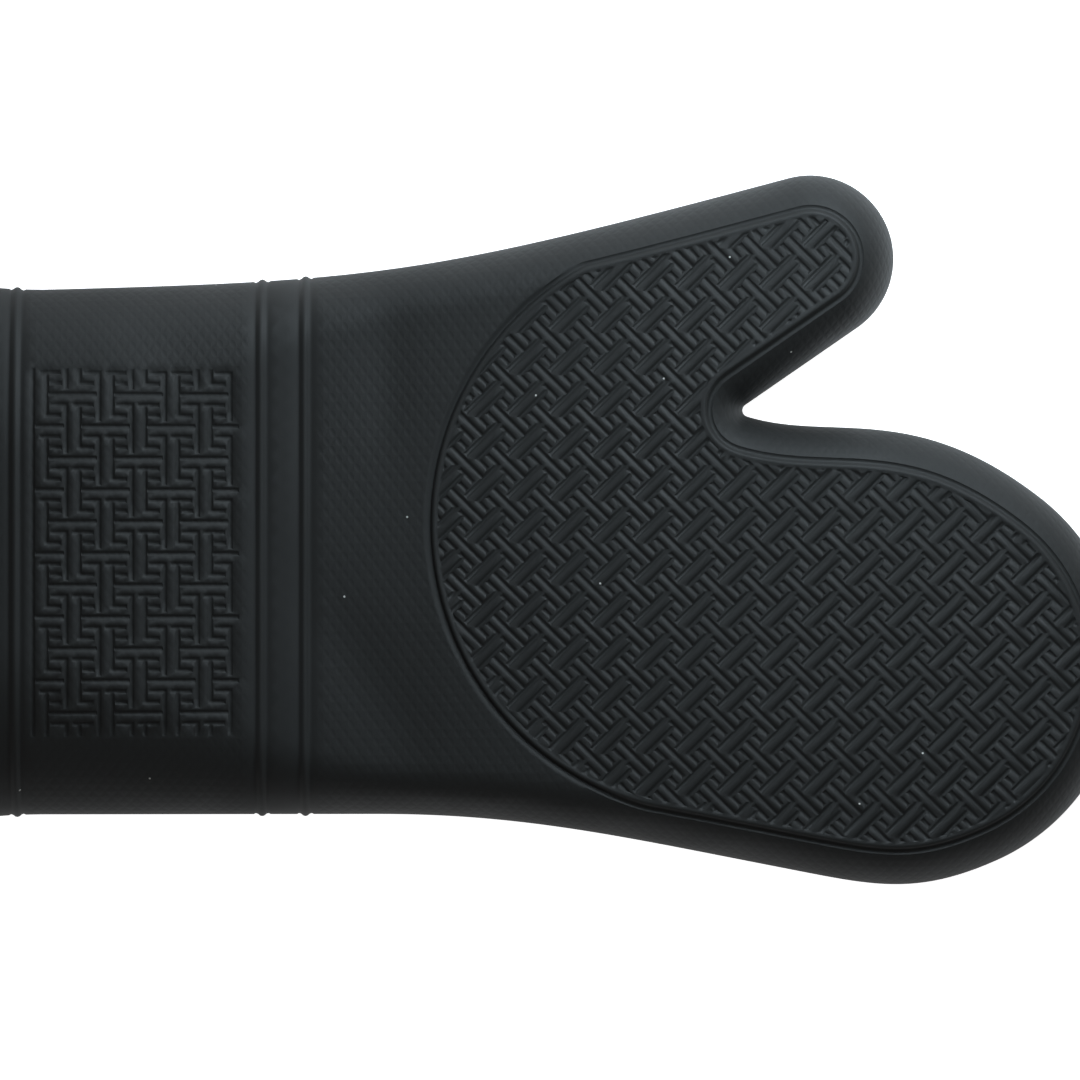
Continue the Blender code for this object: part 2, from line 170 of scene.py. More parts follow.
# ---- Silicone shell ----
# Two halves of black silicone rubber about 2 mm thick, compression moulded and bonded along a parting line
# round the edge. The mould cuts a fret and a fine diamond knurl into both faces, and ribs round the cuff.
CUFF_WIDTH = 0.1310
MOUTH_FLARE = 0.0014
FLARE_LENGTH = 0.022
CUFF_SLOPE = radians(1.6)
FINGER_END_RADIUS = 0.0532
FINGER_DROP = 0.0285
THUMB_RADIUS = 0.0209
THUMB_REACH = 0.0733
THUMB_SETBACK = 0.0783
THUMB_OUTER_SLOPE = radians(15.0)
THUMB_INNER_SLOPE = radians(34.6)
NOTCH_SETBACK = 0.0945
NOTCH_RADIUS = 0.0016
HAND_SLOPE = radians(-17.0)
FINGER_ARC = (radians(52.0), radians(-66.0))
HEEL_LENGTH = 0.105
HEEL_SWELL_SETBACK = 0.0850
HEEL_SWELL = 0.0790
HEEL_SWELL_SLOPE = radians(11.0)
# How far each curve's two handles reach, as shares of its run.
THUMB_PULLS = (0.45, 0.50)
KNUCKLE_PULLS = (0.30, 0.55)
SWELL_PULLS = (0.42, 0.42)
HEEL_PULLS = (0.40, 0.36)

FINGER_THICKNESS = 0.030
HAND_THICKNESS = 0.034
FINGER_TAPER = 0.12
MOUTH_HEIGHT = 0.048
HAND_ROLL = 0.011
MOUTH_ROLL = 0.044
CUFF_RUN = 0.118
# Between these places the edge turns from facing straight sideways to facing square to its own line.
TURN_START, TURN_END = 0.090, CUFF_RUN + 0.012
SHELL_WALL = 0.0020
PARTING_GAP = 0.00005


def heading(angle):
    """The unit vector at an angle from +X."""
    return np.array((cos(angle), sin(angle)))


def normalised(vectors):
    """The vectors brought to length 1."""
    return vectors / np.linalg.norm(vectors, axis=1)[:, None]


def ahead_of(path):
    """The way an open path runs at each of its points."""
    return np.vstack((path[1:], path[-1:])) - np.vstack((path[:1], path[:-1]))


def smooth(t):
    """A ramp from 0 to 1 with level ends."""
    t = np.clip(t, 0.0, 1.0)
    return t * t * (3 - 2 * t)


def bezier(start, start_pull, end_pull, end, steps):
    """Points of a cubic curve; the pulls are vectors from the two ends to their handles."""
    a, b = start + start_pull, end + end_pull
    ts = np.linspace(0, 1, steps + 1)[:, None]
    return start * (1 - ts)**3 + 3 * a * ts * (1 - ts)**2 + 3 * b * ts**2 * (1 - ts) + end * ts**3


def arc(centre, radius, first, last, steps):
    """Points of a round arc from the first angle to the last."""
    return np.array([centre + radius * heading(a) for a in np.linspace(first, last, steps + 1)])


FINGER_CENTRE = np.array((MITT_LENGTH - FINGER_END_RADIUS, -FINGER_DROP))
THUMB_CENTRE = np.array((MITT_LENGTH - THUMB_SETBACK, THUMB_REACH))


def thumb_side():
    """The edge from the end of the mouth's flare along the cuff to the thumb's round tip."""
    start = np.array((FLARE_LENGTH, CUFF_WIDTH / 2))
    end = THUMB_CENTRE + THUMB_RADIUS * heading(THUMB_OUTER_SLOPE + pi / 2)
    run = end[0] - start[0]
    first, last = THUMB_PULLS
    leave, arrive = first * run * heading(CUFF_SLOPE), -last * run * heading(THUMB_OUTER_SLOPE)
    return bezier(start, leave, arrive, end, 150)


def heel_side():
    """The little finger's side, from its swell back to the cuff's straight edge."""
    swell = np.array((MITT_LENGTH - HEEL_SWELL_SETBACK, -HEEL_SWELL))
    heel = np.array((HEEL_LENGTH, -CUFF_WIDTH / 2))
    run = swell[0] - heel[0]
    first, last = HEEL_PULLS
    return bezier(swell, first * run * heading(pi - HEEL_SWELL_SLOPE), np.array((last * run, 0.0)), heel, 90)


def hand_edge():
    """The edge round the thumb, the notch and the fingers, beyond the cuff."""
    outer = thumb_side()
    outer = outer[outer[:, 0] > CUFF_RUN][:-1]
    thumb = arc(THUMB_CENTRE, THUMB_RADIUS, THUMB_OUTER_SLOPE + pi / 2, THUMB_INNER_SLOPE - pi / 2, 40)
    # The notch is a small arc that touches the thumb's inner edge and the top of the hand.
    reach = thumb[-1][0] - (MITT_LENGTH - NOTCH_SETBACK)
    root = thumb[-1] - heading(THUMB_INNER_SLOPE) * reach / cos(THUMB_INNER_SLOPE)
    notch_centre = root + NOTCH_RADIUS * heading(THUMB_INNER_SLOPE - pi / 2)
    notch = arc(notch_centre, NOTCH_RADIUS, THUMB_INNER_SLOPE + pi / 2, HAND_SLOPE + 1.5 * pi, 12)
    inner = np.linspace(thumb[-1], notch[0], 24)
    fingers = arc(FINGER_CENTRE, FINGER_END_RADIUS, *FINGER_ARC, 64)
    run = fingers[0][0] - notch[-1][0]
    knuckle = bezier(notch[-1], KNUCKLE_PULLS[0] * run * heading(HAND_SLOPE),
                     KNUCKLE_PULLS[1] * run * heading(FINGER_ARC[0] + pi / 2), fingers[0], 36)
    heel = heel_side()
    run = fingers[-1][0] - heel[0][0]
    swell = bezier(fingers[-1], SWELL_PULLS[0] * run * heading(FINGER_ARC[1] - pi / 2),
                   SWELL_PULLS[1] * run * heading(-HEEL_SWELL_SLOPE), heel[0], 24)
    lower = heel[heel[:, 0] > CUFF_RUN]
    stretches = (thumb, inner, notch, knuckle, fingers, swell)
    return np.vstack((outer, *[stretch[:-1] for stretch in stretches], lower))


def outline(stations):
    """The whole edge as points and outward normals, from the mouth's thumb side round to its other side."""
    thumb_line, heel_line = thumb_side(), heel_side()[::-1]

    def cuff_edge(x, line):
        flare = MOUTH_FLARE * max(0.0, 1 - x / FLARE_LENGTH)**2
        return float(np.interp(x, line[:, 0], np.abs(line[:, 1]))) + flare

    upper = [(x, cuff_edge(x, thumb_line)) for x in stations]
    lower = [(x, -cuff_edge(x, heel_line)) for x in reversed(stations)]
    points = np.vstack((upper, hand_edge(), lower))
    ahead = ahead_of(points)
    normals = normalised(np.column_stack((-ahead[:, 1], ahead[:, 0])))
    # Along the cuff the edge faces straight sideways, so that ribs run square across.
    square = np.column_stack((np.zeros(len(points)), np.sign(points[:, 1])))
    share = smooth((points[:, 0] - TURN_START) / (TURN_END - TURN_START))[:, None]
    return points, normalised(normals * share + square * (1 - share))


def thickness(x):
    """Height of the lying mitt at x."""
    hand = FINGER_THICKNESS + (HAND_THICKNESS - FINGER_THICKNESS) * smooth((MITT_LENGTH - x) / FINGER_TAPER)
    return hand + (MOUTH_HEIGHT - HAND_THICKNESS) * smooth(1 - x / CUFF_RUN)


def roll(x):
    """Width of the rounded edge, from the side to the flat face."""
    return HAND_ROLL + (MOUTH_ROLL - HAND_ROLL) * smooth(1 - x / CUFF_RUN)


def to_line(points, line, closed):
    """Distance from points to a line through corners, and the unit vector from each point to the line."""
    a = line if closed else line[:-1]
    b = np.roll(line, -1, axis=0) if closed else line[1:]
    run = b - a
    best = np.full(len(points), np.inf)
    nearest = np.zeros_like(points)
    for start in range(0, len(points), 2000):
        part = points[start:start + 2000, None, :]
        t = np.clip(((part - a) * run).sum(2) / (run * run).sum(1), 0, 1)
        foot = a + run * t[..., None]
        gap = np.linalg.norm(part - foot, axis=2)
        pick = gap.argmin(axis=1)
        rows = np.arange(len(pick))
        best[start:start + 2000] = gap[rows, pick]
        nearest[start:start + 2000] = foot[rows, pick]
    away = nearest - points
    return best, away / np.maximum(np.linalg.norm(away, axis=1), 1e-9)[:, None]


def is_inside(points, loop):
    """Which points lie inside a closed loop."""
    x, y = points[:, :1], points[:, 1:]
    ax, ay = loop[:, 0], loop[:, 1]
    bx, by = np.roll(ax, -1), np.roll(ay, -1)
    with np.errstate(divide="ignore", invalid="ignore"):
        crossing = ((ay > y) != (by > y)) & (x < ax + (y - ay) * (bx - ax) / (by - ay))
    return crossing.sum(axis=1) % 2 == 1


ACROSS_STEP = 0.0030


class FlatPlan:
    """One face of the mitt laid out flat: rings that follow the edge, and triangles inside them.

    points are (x, y), inset is each point's distance from the edge, and outward its direction to the edge.
    The first rings * count points are the rings, edge point by edge point. mouth lists the points along
    the mouth, from the thumb's side to the other. across holds the x of lines from side to side.
    """

    def __init__(self, stations, rings, mouth_insets, across=(), loops=(), lines=(), dots=()):
        edge, normals = outline(stations)
        count, levels = len(edge), len(rings)
        ring_points = (edge[:, None, :] - normals[:, None, :] * np.array(rings)[None, :, None]).reshape(-1, 2)
        mouth_ys = [edge[0][1] - inset for inset in mouth_insets]
        mouth_ys += [-y for y in reversed(mouth_ys)]
        mouth_points = np.array([(edge[0][0], y) for y in mouth_ys])

        rim = [k * levels + levels - 1 for k in range(count)]
        boundary = np.vstack((ring_points[rim], mouth_points[::-1]))
        known, edges, total = [boundary], [], len(boundary)
        for x in across:
            k = stations.index(x)
            top, bottom = boundary[k], boundary[count - 1 - k]
            between = np.linspace(top, bottom, int((top[1] - bottom[1]) / ACROSS_STEP) + 1)[1:-1]
            chain = [k, *range(total, total + len(between)), count - 1 - k]
            edges += list(zip(chain, chain[1:]))
            known.append(between)
            total += len(between)
        for loop in loops:
            known.append(loop)
            edges += [(total + i, total + (i + 1) % len(loop)) for i in range(len(loop))]
            total += len(loop)
        for line in lines:
            known.append(np.array(line))
            edges.append((total, total + 1))
            total += 2
        if len(dots):
            known.append(np.array(dots))
        # The triangulation runs in millimetres, where its single numbers are fine enough.
        flat = [Vector(p) for p in np.vstack(known) * 1000]
        found, _, faces, origin, _, _ = delaunay_2d_cdt(flat, edges, [list(range(len(boundary)))], 1, 0.004)
        place = np.array([(v.x, v.y) for v in found]) / 1000
        ids = np.full(len(place), -1)
        for new, old in enumerate(origin):
            old = [o for o in old if o < len(boundary)]
            if old:
                ids[new] = rim[old[0]] if old[0] < count else len(ring_points) + len(boundary) - 1 - old[0]
        free = np.flatnonzero(ids < 0)
        ids[free] = len(ring_points) + len(mouth_points) + np.arange(len(free))
        inner = np.vstack((mouth_points, place[free]))
        gap, outward = to_line(inner, edge, closed=False)

        self.count, self.levels = count, levels
        self.points = np.vstack((ring_points, inner))
        self.inset = np.concatenate((np.tile(rings, count), gap))
        self.outward = np.vstack((np.repeat(normals, levels, axis=0), outward))
        self.outward[len(ring_points):len(ring_points) + len(mouth_points)] = [
            (0.0, np.sign(y)) for y in mouth_points[:, 1]]
        self.faces = [(k * levels + i, (k + 1) * levels + i, (k + 1) * levels + i + 1, k * levels + i + 1)
                      for k in range(count - 1) for i in range(levels - 1)]
        self.faces += [tuple(int(ids[v]) for v in face) for face in faces]
        self.parting = [k * levels for k in range(count)]
        self.mouth = list(range(levels)) + [len(ring_points) + i for i in range(len(mouth_points))]
        self.mouth += [(count - 1) * levels + i for i in reversed(range(levels))]

    def lift(self, depth, side, relief=0.0, gap=PARTING_GAP):
        """The plan as a layer `depth` inside the upper (+1) or lower (-1) face; relief stands outwards."""
        return lift(self.points, self.inset, self.outward, depth, side, relief, gap)


def lift(points, inset, outward, depth, side, relief=0.0, gap=PARTING_GAP):
    """Places of flat points on a layer: the edge is rolled over and the rest is level."""
    x = points[:, 0]
    half, width = thickness(x) / 2, roll(x)
    lean = np.maximum(0.0, 1 - inset / width)
    rise = np.sqrt(1 - lean**2)
    flat = points + outward * ((relief - depth) * lean)[:, None]
    height = half + side * (gap + (half - gap - depth + relief) * rise)
    return np.column_stack((flat + MOUTH, height))


def unrolled(plan):
    """The plan with its rounded edge rolled out flat, so that a pattern keeps its size down the sides."""
    half, width = thickness(plan.points[:, 0]) / 2, roll(plan.points[:, 0])
    lean = np.clip(1 - plan.inset / width, 0.0, 1.0)
    first = np.arccos(lean)
    steps = first[:, None] + (pi / 2 - first)[:, None] * np.linspace(0, 1, 25)
    pace = np.hypot(width[:, None] * np.sin(steps), half[:, None] * np.cos(steps))
    length = ((pace[:, 1:] + pace[:, :-1]) / 2 * np.diff(steps, axis=1)).sum(axis=1)
    return plan.points + plan.outward * (length - width * lean)[:, None]


# The ribs: a bead between two fine grooves, one pair by the mouth and one at the wrist.
RIB_PLACES = (0.0045, 0.0150, 0.0760, 0.0868)
RIB_STEPS = (-0.0021, -0.0016, -0.0011, -0.0005, 0.0, 0.0005, 0.0011, 0.0016, 0.0021)
RIB_HEIGHTS = (0.0, -0.00025, -0.00010, 0.00038, 0.00050, 0.00038, -0.00010, -0.00025, 0.0)

# The grip pad: a groove and a bead follow the hand's edge, and an arc closes them across the wrist.
PAD_INSET = 0.0080
WRIST_ARC_RADIUS = 0.0738
WRIST_ARC_CENTRE = np.array((MITT_LENGTH - 0.1003, 0.0071))
PAD_STEPS = (-0.0009, -0.00015, 0.0003, 0.0010, 0.0014, 0.0018, 0.0022, 0.0027)
PAD_HEIGHTS = (0.0, 0.0, -0.00050, -0.00050, 0.00020, 0.00040, 0.00030, 0.00020)
PAD_FRET_START = (0.0027, 0.0030)

# One key of the fret: its groove runs as (x, y, half length, half height) in sixths of the key's pitch.
KEY_RUNS = (
    (-0.60, -0.175, 0.0, 2.175), (-1.225, 2.0, 0.625, 0.0),
    (0.60, 0.0, 0.0, 2.0), (0.925, 2.0, 0.775, 0.0), (1.175, -2.0, 0.575, 0.0),
    (-1.55, -2.0, 0.35, 0.0), (0.0, 3.0, 2.1, 0.0),
)
GROOVE_HALF_WIDTH = 0.00045
GROOVE_STEPS = (-0.00022, 0.00002, 0.00026)
GROOVE_DEPTHS = (0.00038, 0.00019, 0.0)


def pad_edge():
    """The closed line round the grip pad, at the outer side of its groove."""
    edge, normals = outline([CUFF_RUN])
    ring = edge - normals * PAD_INSET
    from_centre = ring - WRIST_ARC_CENTRE
    within = np.flatnonzero(np.linalg.norm(from_centre, axis=1) < WRIST_ARC_RADIUS)
    first, last = within[0], within[-1]
    start, end = (atan2(from_centre[i][1], from_centre[i][0]) for i in (last, first))
    wrist = arc(WRIST_ARC_CENTRE, WRIST_ARC_RADIUS, start, end - 2 * pi, 70)
    return np.vstack((ring[first:last + 1], wrist[1:-1]))


PAD_EDGE = pad_edge()
pad_ahead = np.roll(PAD_EDGE, -1, axis=0) - np.roll(PAD_EDGE, 1, axis=0)
PAD_INWARD = normalised(np.column_stack((pad_ahead[:, 1], -pad_ahead[:, 0])))


def into_pad(points):
    """How far points lie inside the pad's edge; less than 0 is outside."""
    gap, _ = to_line(points, PAD_EDGE, closed=True)
    return np.where(is_inside(points, PAD_EDGE), gap, -gap)


FRET_TILE = 0.010
FRET_MARGIN = 0.006


class Fret:
    """A field of interlocking keys: `place` is one key's middle, `turn` its angle and `unit` its sixth."""

    def __init__(self, place, turn, unit, low, high):
        self.place, self.axes = np.array(place), np.array((heading(turn), heading(turn + pi / 2)))
        rows = []
        reach = int(np.ceil(np.abs(np.array((low, high)) - self.place).max() / min(unit) / 3)) + 2
        for i in range(-reach, reach + 1):
            for j in range(-reach, reach + 1):
                if (i + j) % 2 == 0:
                    rows += [(x + 3 * i, y + 3 * j, w, h) for x, y, w, h in KEY_RUNS]
        bars = np.array(rows) * (*unit, *unit)
        middles = bars[:, :2] @ self.axes + self.place
        keep = ((middles > low) & (middles < high)).all(axis=1)
        self.bars = bars[keep]

    def clip(self, low, high):
        """Cuts the groove runs at a panel's sides; the fret isn't turned there."""
        low, high = np.array(low) - self.place, np.array(high) - self.place
        a = np.maximum(self.bars[:, :2] - self.bars[:, 2:], low)
        b = np.minimum(self.bars[:, :2] + self.bars[:, 2:], high)
        keep = (b - a > -1e-6).all(axis=1)
        self.bars = np.column_stack(((a + b) / 2, np.maximum(b - a, 0) / 2))[keep]

    def depth(self, points):
        """The groove's depth at points. It goes tile by tile, with only the grooves that reach the tile."""
        local = (points - self.place) @ self.axes.T
        out = np.full(len(points), np.inf)
        tiles = np.floor(local / FRET_TILE).astype(int) @ (1000, 1)
        reach = GROOVE_HALF_WIDTH + GROOVE_STEPS[-1]
        for tile in np.unique(tiles):
            here = np.flatnonzero(tiles == tile)
            low, high = local[here].min(axis=0) - reach, local[here].max(axis=0) + reach
            near = self.bars[((self.bars[:, :2] + self.bars[:, 2:] > low)
                              & (self.bars[:, :2] - self.bars[:, 2:] < high)).all(axis=1)]
            if len(near):
                away = np.abs(local[here, None, :] - near[:, :2]) - near[:, 2:] - GROOVE_HALF_WIDTH
                gap = np.hypot(*np.moveaxis(np.maximum(away, 0), 2, 0)) + np.minimum(away.max(axis=2), 0)
                out[here] = gap.min(axis=1)
        return np.interp(out, GROOVE_STEPS, GROOVE_DEPTHS)

    def lines(self, longest):
        """Short lines along the shoulders, walls and floors of the grooves."""
        pieces = []
        for x, y, w, h in self.bars:
            for step in GROOVE_STEPS:
                a, b = w + GROOVE_HALF_WIDTH + step, h + GROOVE_HALF_WIDTH + step
                corners = np.array(((x - a, y - b), (x + a, y - b), (x + a, y + b), (x - a, y + b)))
                for one, two in zip(corners, np.roll(corners, -1, axis=0)):
                    cuts = int(np.ceil(np.linalg.norm(two - one) / longest))
                    stops = np.linspace(one, two, cuts + 1) @ self.axes + self.place
                    pieces += zip(stops[:-1], stops[1:])
        return np.array(pieces)


# The cuff's panel of fret, and the straight groove that closes its side towards the mouth.
PANEL_LOW = np.array((0.0205, -0.0450))
PANEL_HIGH = np.array((0.0700, 0.0448))
PANEL_KEY = (0.0294, 0.0154)
PANEL_UNIT = (0.00271, 0.00263)
PANEL_MARGIN = 0.011
BORDER_GAP = 0.0010
HAND_KEY = (MITT_LENGTH - 0.1169, 0.0381)
HAND_UNIT = (0.00247, 0.00247)
cuff_fret = Fret(PANEL_KEY, 0.0, PANEL_UNIT, PANEL_LOW - PANEL_MARGIN, PANEL_HIGH + PANEL_MARGIN)
cuff_fret.clip(PANEL_LOW, PANEL_HIGH)
border_y, border_half = (PANEL_LOW[1] + PANEL_HIGH[1]) / 2, (PANEL_HIGH[1] - PANEL_LOW[1]) / 2
border = (PANEL_LOW[0] - BORDER_GAP - PANEL_KEY[0], border_y - PANEL_KEY[1], 0.0, border_half)
cuff_fret.bars = np.vstack((cuff_fret.bars, [border]))
hand_fret = Fret(HAND_KEY, radians(-45.0), HAND_UNIT,
                 PAD_EDGE.min(axis=0) - FRET_MARGIN, PAD_EDGE.max(axis=0) + FRET_MARGIN)


def cut_at_pad(lines):
    """Keeps what lies inside the pad, cut off square at the fret's limit."""
    gaps = into_pad(lines.reshape(-1, 2)).reshape(-1, 2) - PAD_FRET_START[0]
    kept = lines[(gaps > 0).any(axis=1)].copy()
    gaps = gaps[(gaps > 0).any(axis=1)]
    for end in (0, 1):
        out = gaps[:, end] < 0
        share = gaps[out, end] / (gaps[out, end] - gaps[out, 1 - end])
        kept[out, end] += (kept[out, 1 - end] - kept[out, end]) * share[:, None]
    return kept


KNURL_FADE = 0.0004


def skin_relief(plan):
    """How far the skin stands out from the plain form, and where its knurl is."""
    x = plan.points[:, 0]
    into = into_pad(plan.points)
    height = np.interp(into, PAD_STEPS, PAD_HEIGHTS)
    start, full = PAD_FRET_START
    fret = hand_fret.depth(plan.points) * smooth((into - start) / (full - start))
    fret += cuff_fret.depth(plan.points)
    for place in RIB_PLACES:
        height += np.interp(x - place, RIB_STEPS, RIB_HEIGHTS)
    knurl = smooth(-into / KNURL_FADE)
    for first, last in zip(RIB_PLACES[::2], RIB_PLACES[1::2]):
        middle, reach = (first + last) / 2, (last - first) / 2 + RIB_STEPS[-1]
        knurl *= smooth((np.abs(x - middle) - reach) / KNURL_FADE)
    return height - fret, knurl


SWELL = 0.0007
SWELL_EDGE_RUN = 0.012
SWELL_MOUTH_RUN = 0.020
# Soft hollows in the empty mitt's upper face, as (x, y, half length, half width, turn, share of the swell).
HOLLOWS = (
    (0.0535, 0.0480, 0.013, 0.012, 0.0, 1.0),
    (0.1070, 0.0460, 0.022, 0.006, radians(88.0), 1.0),
    (0.1008, -0.0300, 0.027, 0.009, radians(-59.0), 1.0),
    (0.0480, -0.0560, 0.030, 0.010, radians(4.0), 0.6),
    (0.2050, -0.0100, 0.040, 0.022, radians(-40.0), 0.5),
)


def swell(points, inset):
    """The upper face bulges a little where the wadding is full, and falls back in the hollows."""
    fill = np.ones(len(points))
    for x, y, length, width, turn, share in HOLLOWS:
        along = (points - (x, y)) @ heading(turn) / length
        beside = (points - (x, y)) @ heading(turn + pi / 2) / width
        fill -= share * np.exp(-along**2 - beside**2)
    ends = smooth(inset / SWELL_EDGE_RUN) * smooth(points[:, 0] / SWELL_MOUTH_RUN)
    return SWELL * np.maximum(fill, 0.0) * ends


def lattice(step, low, high):
    """Points of a staggered lattice over a rectangle."""
    rows, columns = np.arange(low[1], high[1], step * 0.87), np.arange(low[0], high[0], step)
    return np.array([(x + step / 2 * (i % 2), y) for i, y in enumerate(rows) for x in columns])


def open_ground(step, clear_of_skin_relief):
    """Lattice points inside the rings, and clear of the ribs, the panel and the pad where these are cut."""
    edge, _ = outline([MOUTH_START, CUFF_RUN])
    dots = lattice(step, (step, edge[:, 1].min()), edge.max(axis=0))
    gap, _ = to_line(dots, edge, closed=False)
    dots = dots[is_inside(dots, edge) & (gap > SKIN_RINGS[-1] + 0.4 * step)]
    if clear_of_skin_relief:
        free = into_pad(dots) < -0.5 * step
        to_rib = np.min([np.abs(dots[:, 0] - place) for place in RIB_PLACES], axis=0)
        free &= to_rib > RIB_STEPS[-1] + 0.4 * step
        free &= ((dots < PANEL_LOW - 0.5 * step) | (dots > PANEL_HIGH + 0.5 * step)).any(axis=1)
        dots = dots[free]
    return dots


MOUTH_START = 0.0004
RIB_LINES = sorted(place + step for place in RIB_PLACES for step in RIB_STEPS)
STATIONS = sorted({MOUTH_START, 0.0016, *np.arange(0.0185, 0.0735, 0.00275),
                   *np.arange(0.0910, CUFF_RUN, 0.0027), *RIB_LINES})
SKIN_RINGS = (0.0, 0.00012, 0.0005, 0.0011, 0.0019, 0.0030, 0.0044, 0.0060)
MOUTH_INSETS = (0.0085, 0.0120, 0.0160, 0.0210, 0.0270, 0.0340, 0.0410, 0.0480, 0.0550, 0.0620)
pad_loops = [PAD_EDGE + PAD_INWARD * step for step in (*PAD_STEPS, PAD_FRET_START[1])]
fret_lines = np.concatenate((cuff_fret.lines(0.0030), cut_at_pad(hand_fret.lines(0.0080))))
skin_plan = FlatPlan(STATIONS, SKIN_RINGS, MOUTH_INSETS, RIB_LINES, pad_loops, fret_lines,
                     open_ground(0.0030, True))
plain_plan = FlatPlan(STATIONS, SKIN_RINGS, MOUTH_INSETS, dots=open_ground(0.0060, False))


def solid(name, outer, outer_plan, inner, inner_plan, rim_rows):
    """Closes two layers of one face into a solid: a wall along the parting line, and rows round the mouth."""
    shift = len(outer)
    verts = [outer, inner]
    faces = list(outer_plan.faces) + [tuple(v + shift for v in face) for face in inner_plan.faces]
    top = outer_plan.parting
    low = [v + shift for v in inner_plan.parting]
    faces += [(a, b, d, c) for a, b, c, d in zip(top, top[1:], low, low[1:])]
    rows, total = [outer_plan.mouth], shift + len(inner)
    for row in rim_rows:
        rows.append(range(total, total + len(row)))
        verts.append(row)
        total += len(row)
    rows.append([v + shift for v in inner_plan.mouth])
    for one, two in zip(rows, rows[1:]):
        faces += [(a, b, d, c) for a, b, c, d in zip(one, one[1:], two, two[1:])]
    faces += [tuple(row[end] for row in rows) for end in (0, -1)]
    return mesh_piece(name, np.vstack(verts), faces)


def mesh_piece(name, verts, faces, sharp=radians(50)):
    """A smooth-shaded mesh object with its faces pointing out."""
    mesh = bpy.data.meshes.new(name)
    mesh.from_pydata([tuple(v) for v in verts], [], faces)
    bm = bmesh.new()
    bm.from_mesh(mesh)
    bmesh.ops.recalc_face_normals(bm, faces=bm.faces)
    bm.to_mesh(mesh)
    bm.free()
    mesh.shade_smooth()
    mesh.set_sharp_from_angle(angle=sharp)
    return add_object(name, mesh)


def rim_row(plan, x, depth, side):
    """The points round half of the mouth, moved to x and to a depth in the wall."""
    points = plan.points[plan.mouth].copy()
    points[:, 0] = x
    return lift(points, plan.inset[plan.mouth], plan.outward[plan.mouth], depth, side)


def mark(piece, name, values):
    """Keeps one number, or one (u, v), for every point of a piece, for its material to read."""
    values = np.asarray(values, np.float32)
    kind, field = ("FLOAT", "value") if values.ndim == 1 else ("FLOAT_VECTOR", "vector")
    if values.ndim == 2:
        values = np.column_stack((values, np.zeros(len(values))))
    piece.data.attributes.new(name, kind, "POINT").data.foreach_set(field, values.ravel())


# The face that the mitt lies on is drawn in by the height of the ribs, so that they don't stand below it.
UNDERSIDE_LIFT = max(RIB_HEIGHTS)
UNDERSIDE_RUN = 0.005
# The rows that round the skin's cut end at the mouth, as (x, depth in the wall).
END_ROUND = ((0.0001, 0.00015), (0.0, 0.0005), (0.0, 0.0015), (0.0001, SHELL_WALL - 0.00015))
skins = []
skin_lay = unrolled(skin_plan)
plain_lay = unrolled(plain_plan)
moulded, knurl = skin_relief(skin_plan)
for half_name, side in (("palm", 1), ("back", -1)):
    if side > 0:
        relief = moulded + swell(skin_plan.points, skin_plan.inset)
    else:
        relief = moulded - UNDERSIDE_LIFT * smooth(skin_plan.inset / UNDERSIDE_RUN)
    outer = skin_plan.lift(0.0, side, relief)
    inner = plain_plan.lift(SHELL_WALL, side)
    rows = [rim_row(skin_plan, x, depth, side) for x, depth in END_ROUND]
    skin = solid(half_name + "_skin", outer, skin_plan, inner, plain_plan, rows)
    mark(skin, "knurl", np.concatenate((knurl, np.zeros(len(inner) + len(rows) * len(skin_plan.mouth)))))
    mark(skin, "lay", np.vstack((skin_lay, plain_lay, *[skin_lay[skin_plan.mouth]] * len(rows))))
    skins.append(skin)


def between(tree, value, low, high, start=0.0, end=1.0):
    """Runs smoothly from start to end as value goes from low to high."""
    sockets = {"Value": value, "From Min": low, "From Max": high, "To Min": start, "To Max": end}
    return node(tree, "MapRange", sockets, interpolation_type="SMOOTHSTEP").outputs["Result"]


def blend_colours(tree, share, one, two):
    return node(tree, "Mix", {0: share, 6: one, 7: two}, data_type="RGBA").outputs[2]


def bumped(tree, height, rise, strength=1.0, **more):
    """The surface's normal over a height; rise is how high a height of 1 stands."""
    sockets = {"Height": height, "Distance": rise, "Strength": strength, **more}
    return node(tree, "Bump", sockets).outputs["Normal"]


def marked(tree, name):
    """What mark() kept under a name."""
    return node(tree, "Attribute", attribute_name=name).outputs


def object_place(tree):
    """The place of a point of the surface, which rides with its piece."""
    return node(tree, "TexCoord").outputs["Object"]


def shader_group(name, numbers, output):
    """A node group that takes a Vector and numbers and gives one value, with its inner ends."""
    group = bpy.data.node_groups.new(name, "ShaderNodeTree")
    group.interface.new_socket("Vector", in_out="INPUT", socket_type="NodeSocketVector")
    for socket, value in numbers.items():
        made = group.interface.new_socket(socket, in_out="INPUT", socket_type="NodeSocketFloat")
        made.default_value = value
    group.interface.new_socket(output, in_out="OUTPUT", socket_type="NodeSocketFloat")
    return group, group.nodes.new("NodeGroupInput").outputs, group.nodes.new("NodeGroupOutput").inputs


def use_group(tree, group, sockets):
    return node(tree, "Group", sockets, node_tree=group).outputs


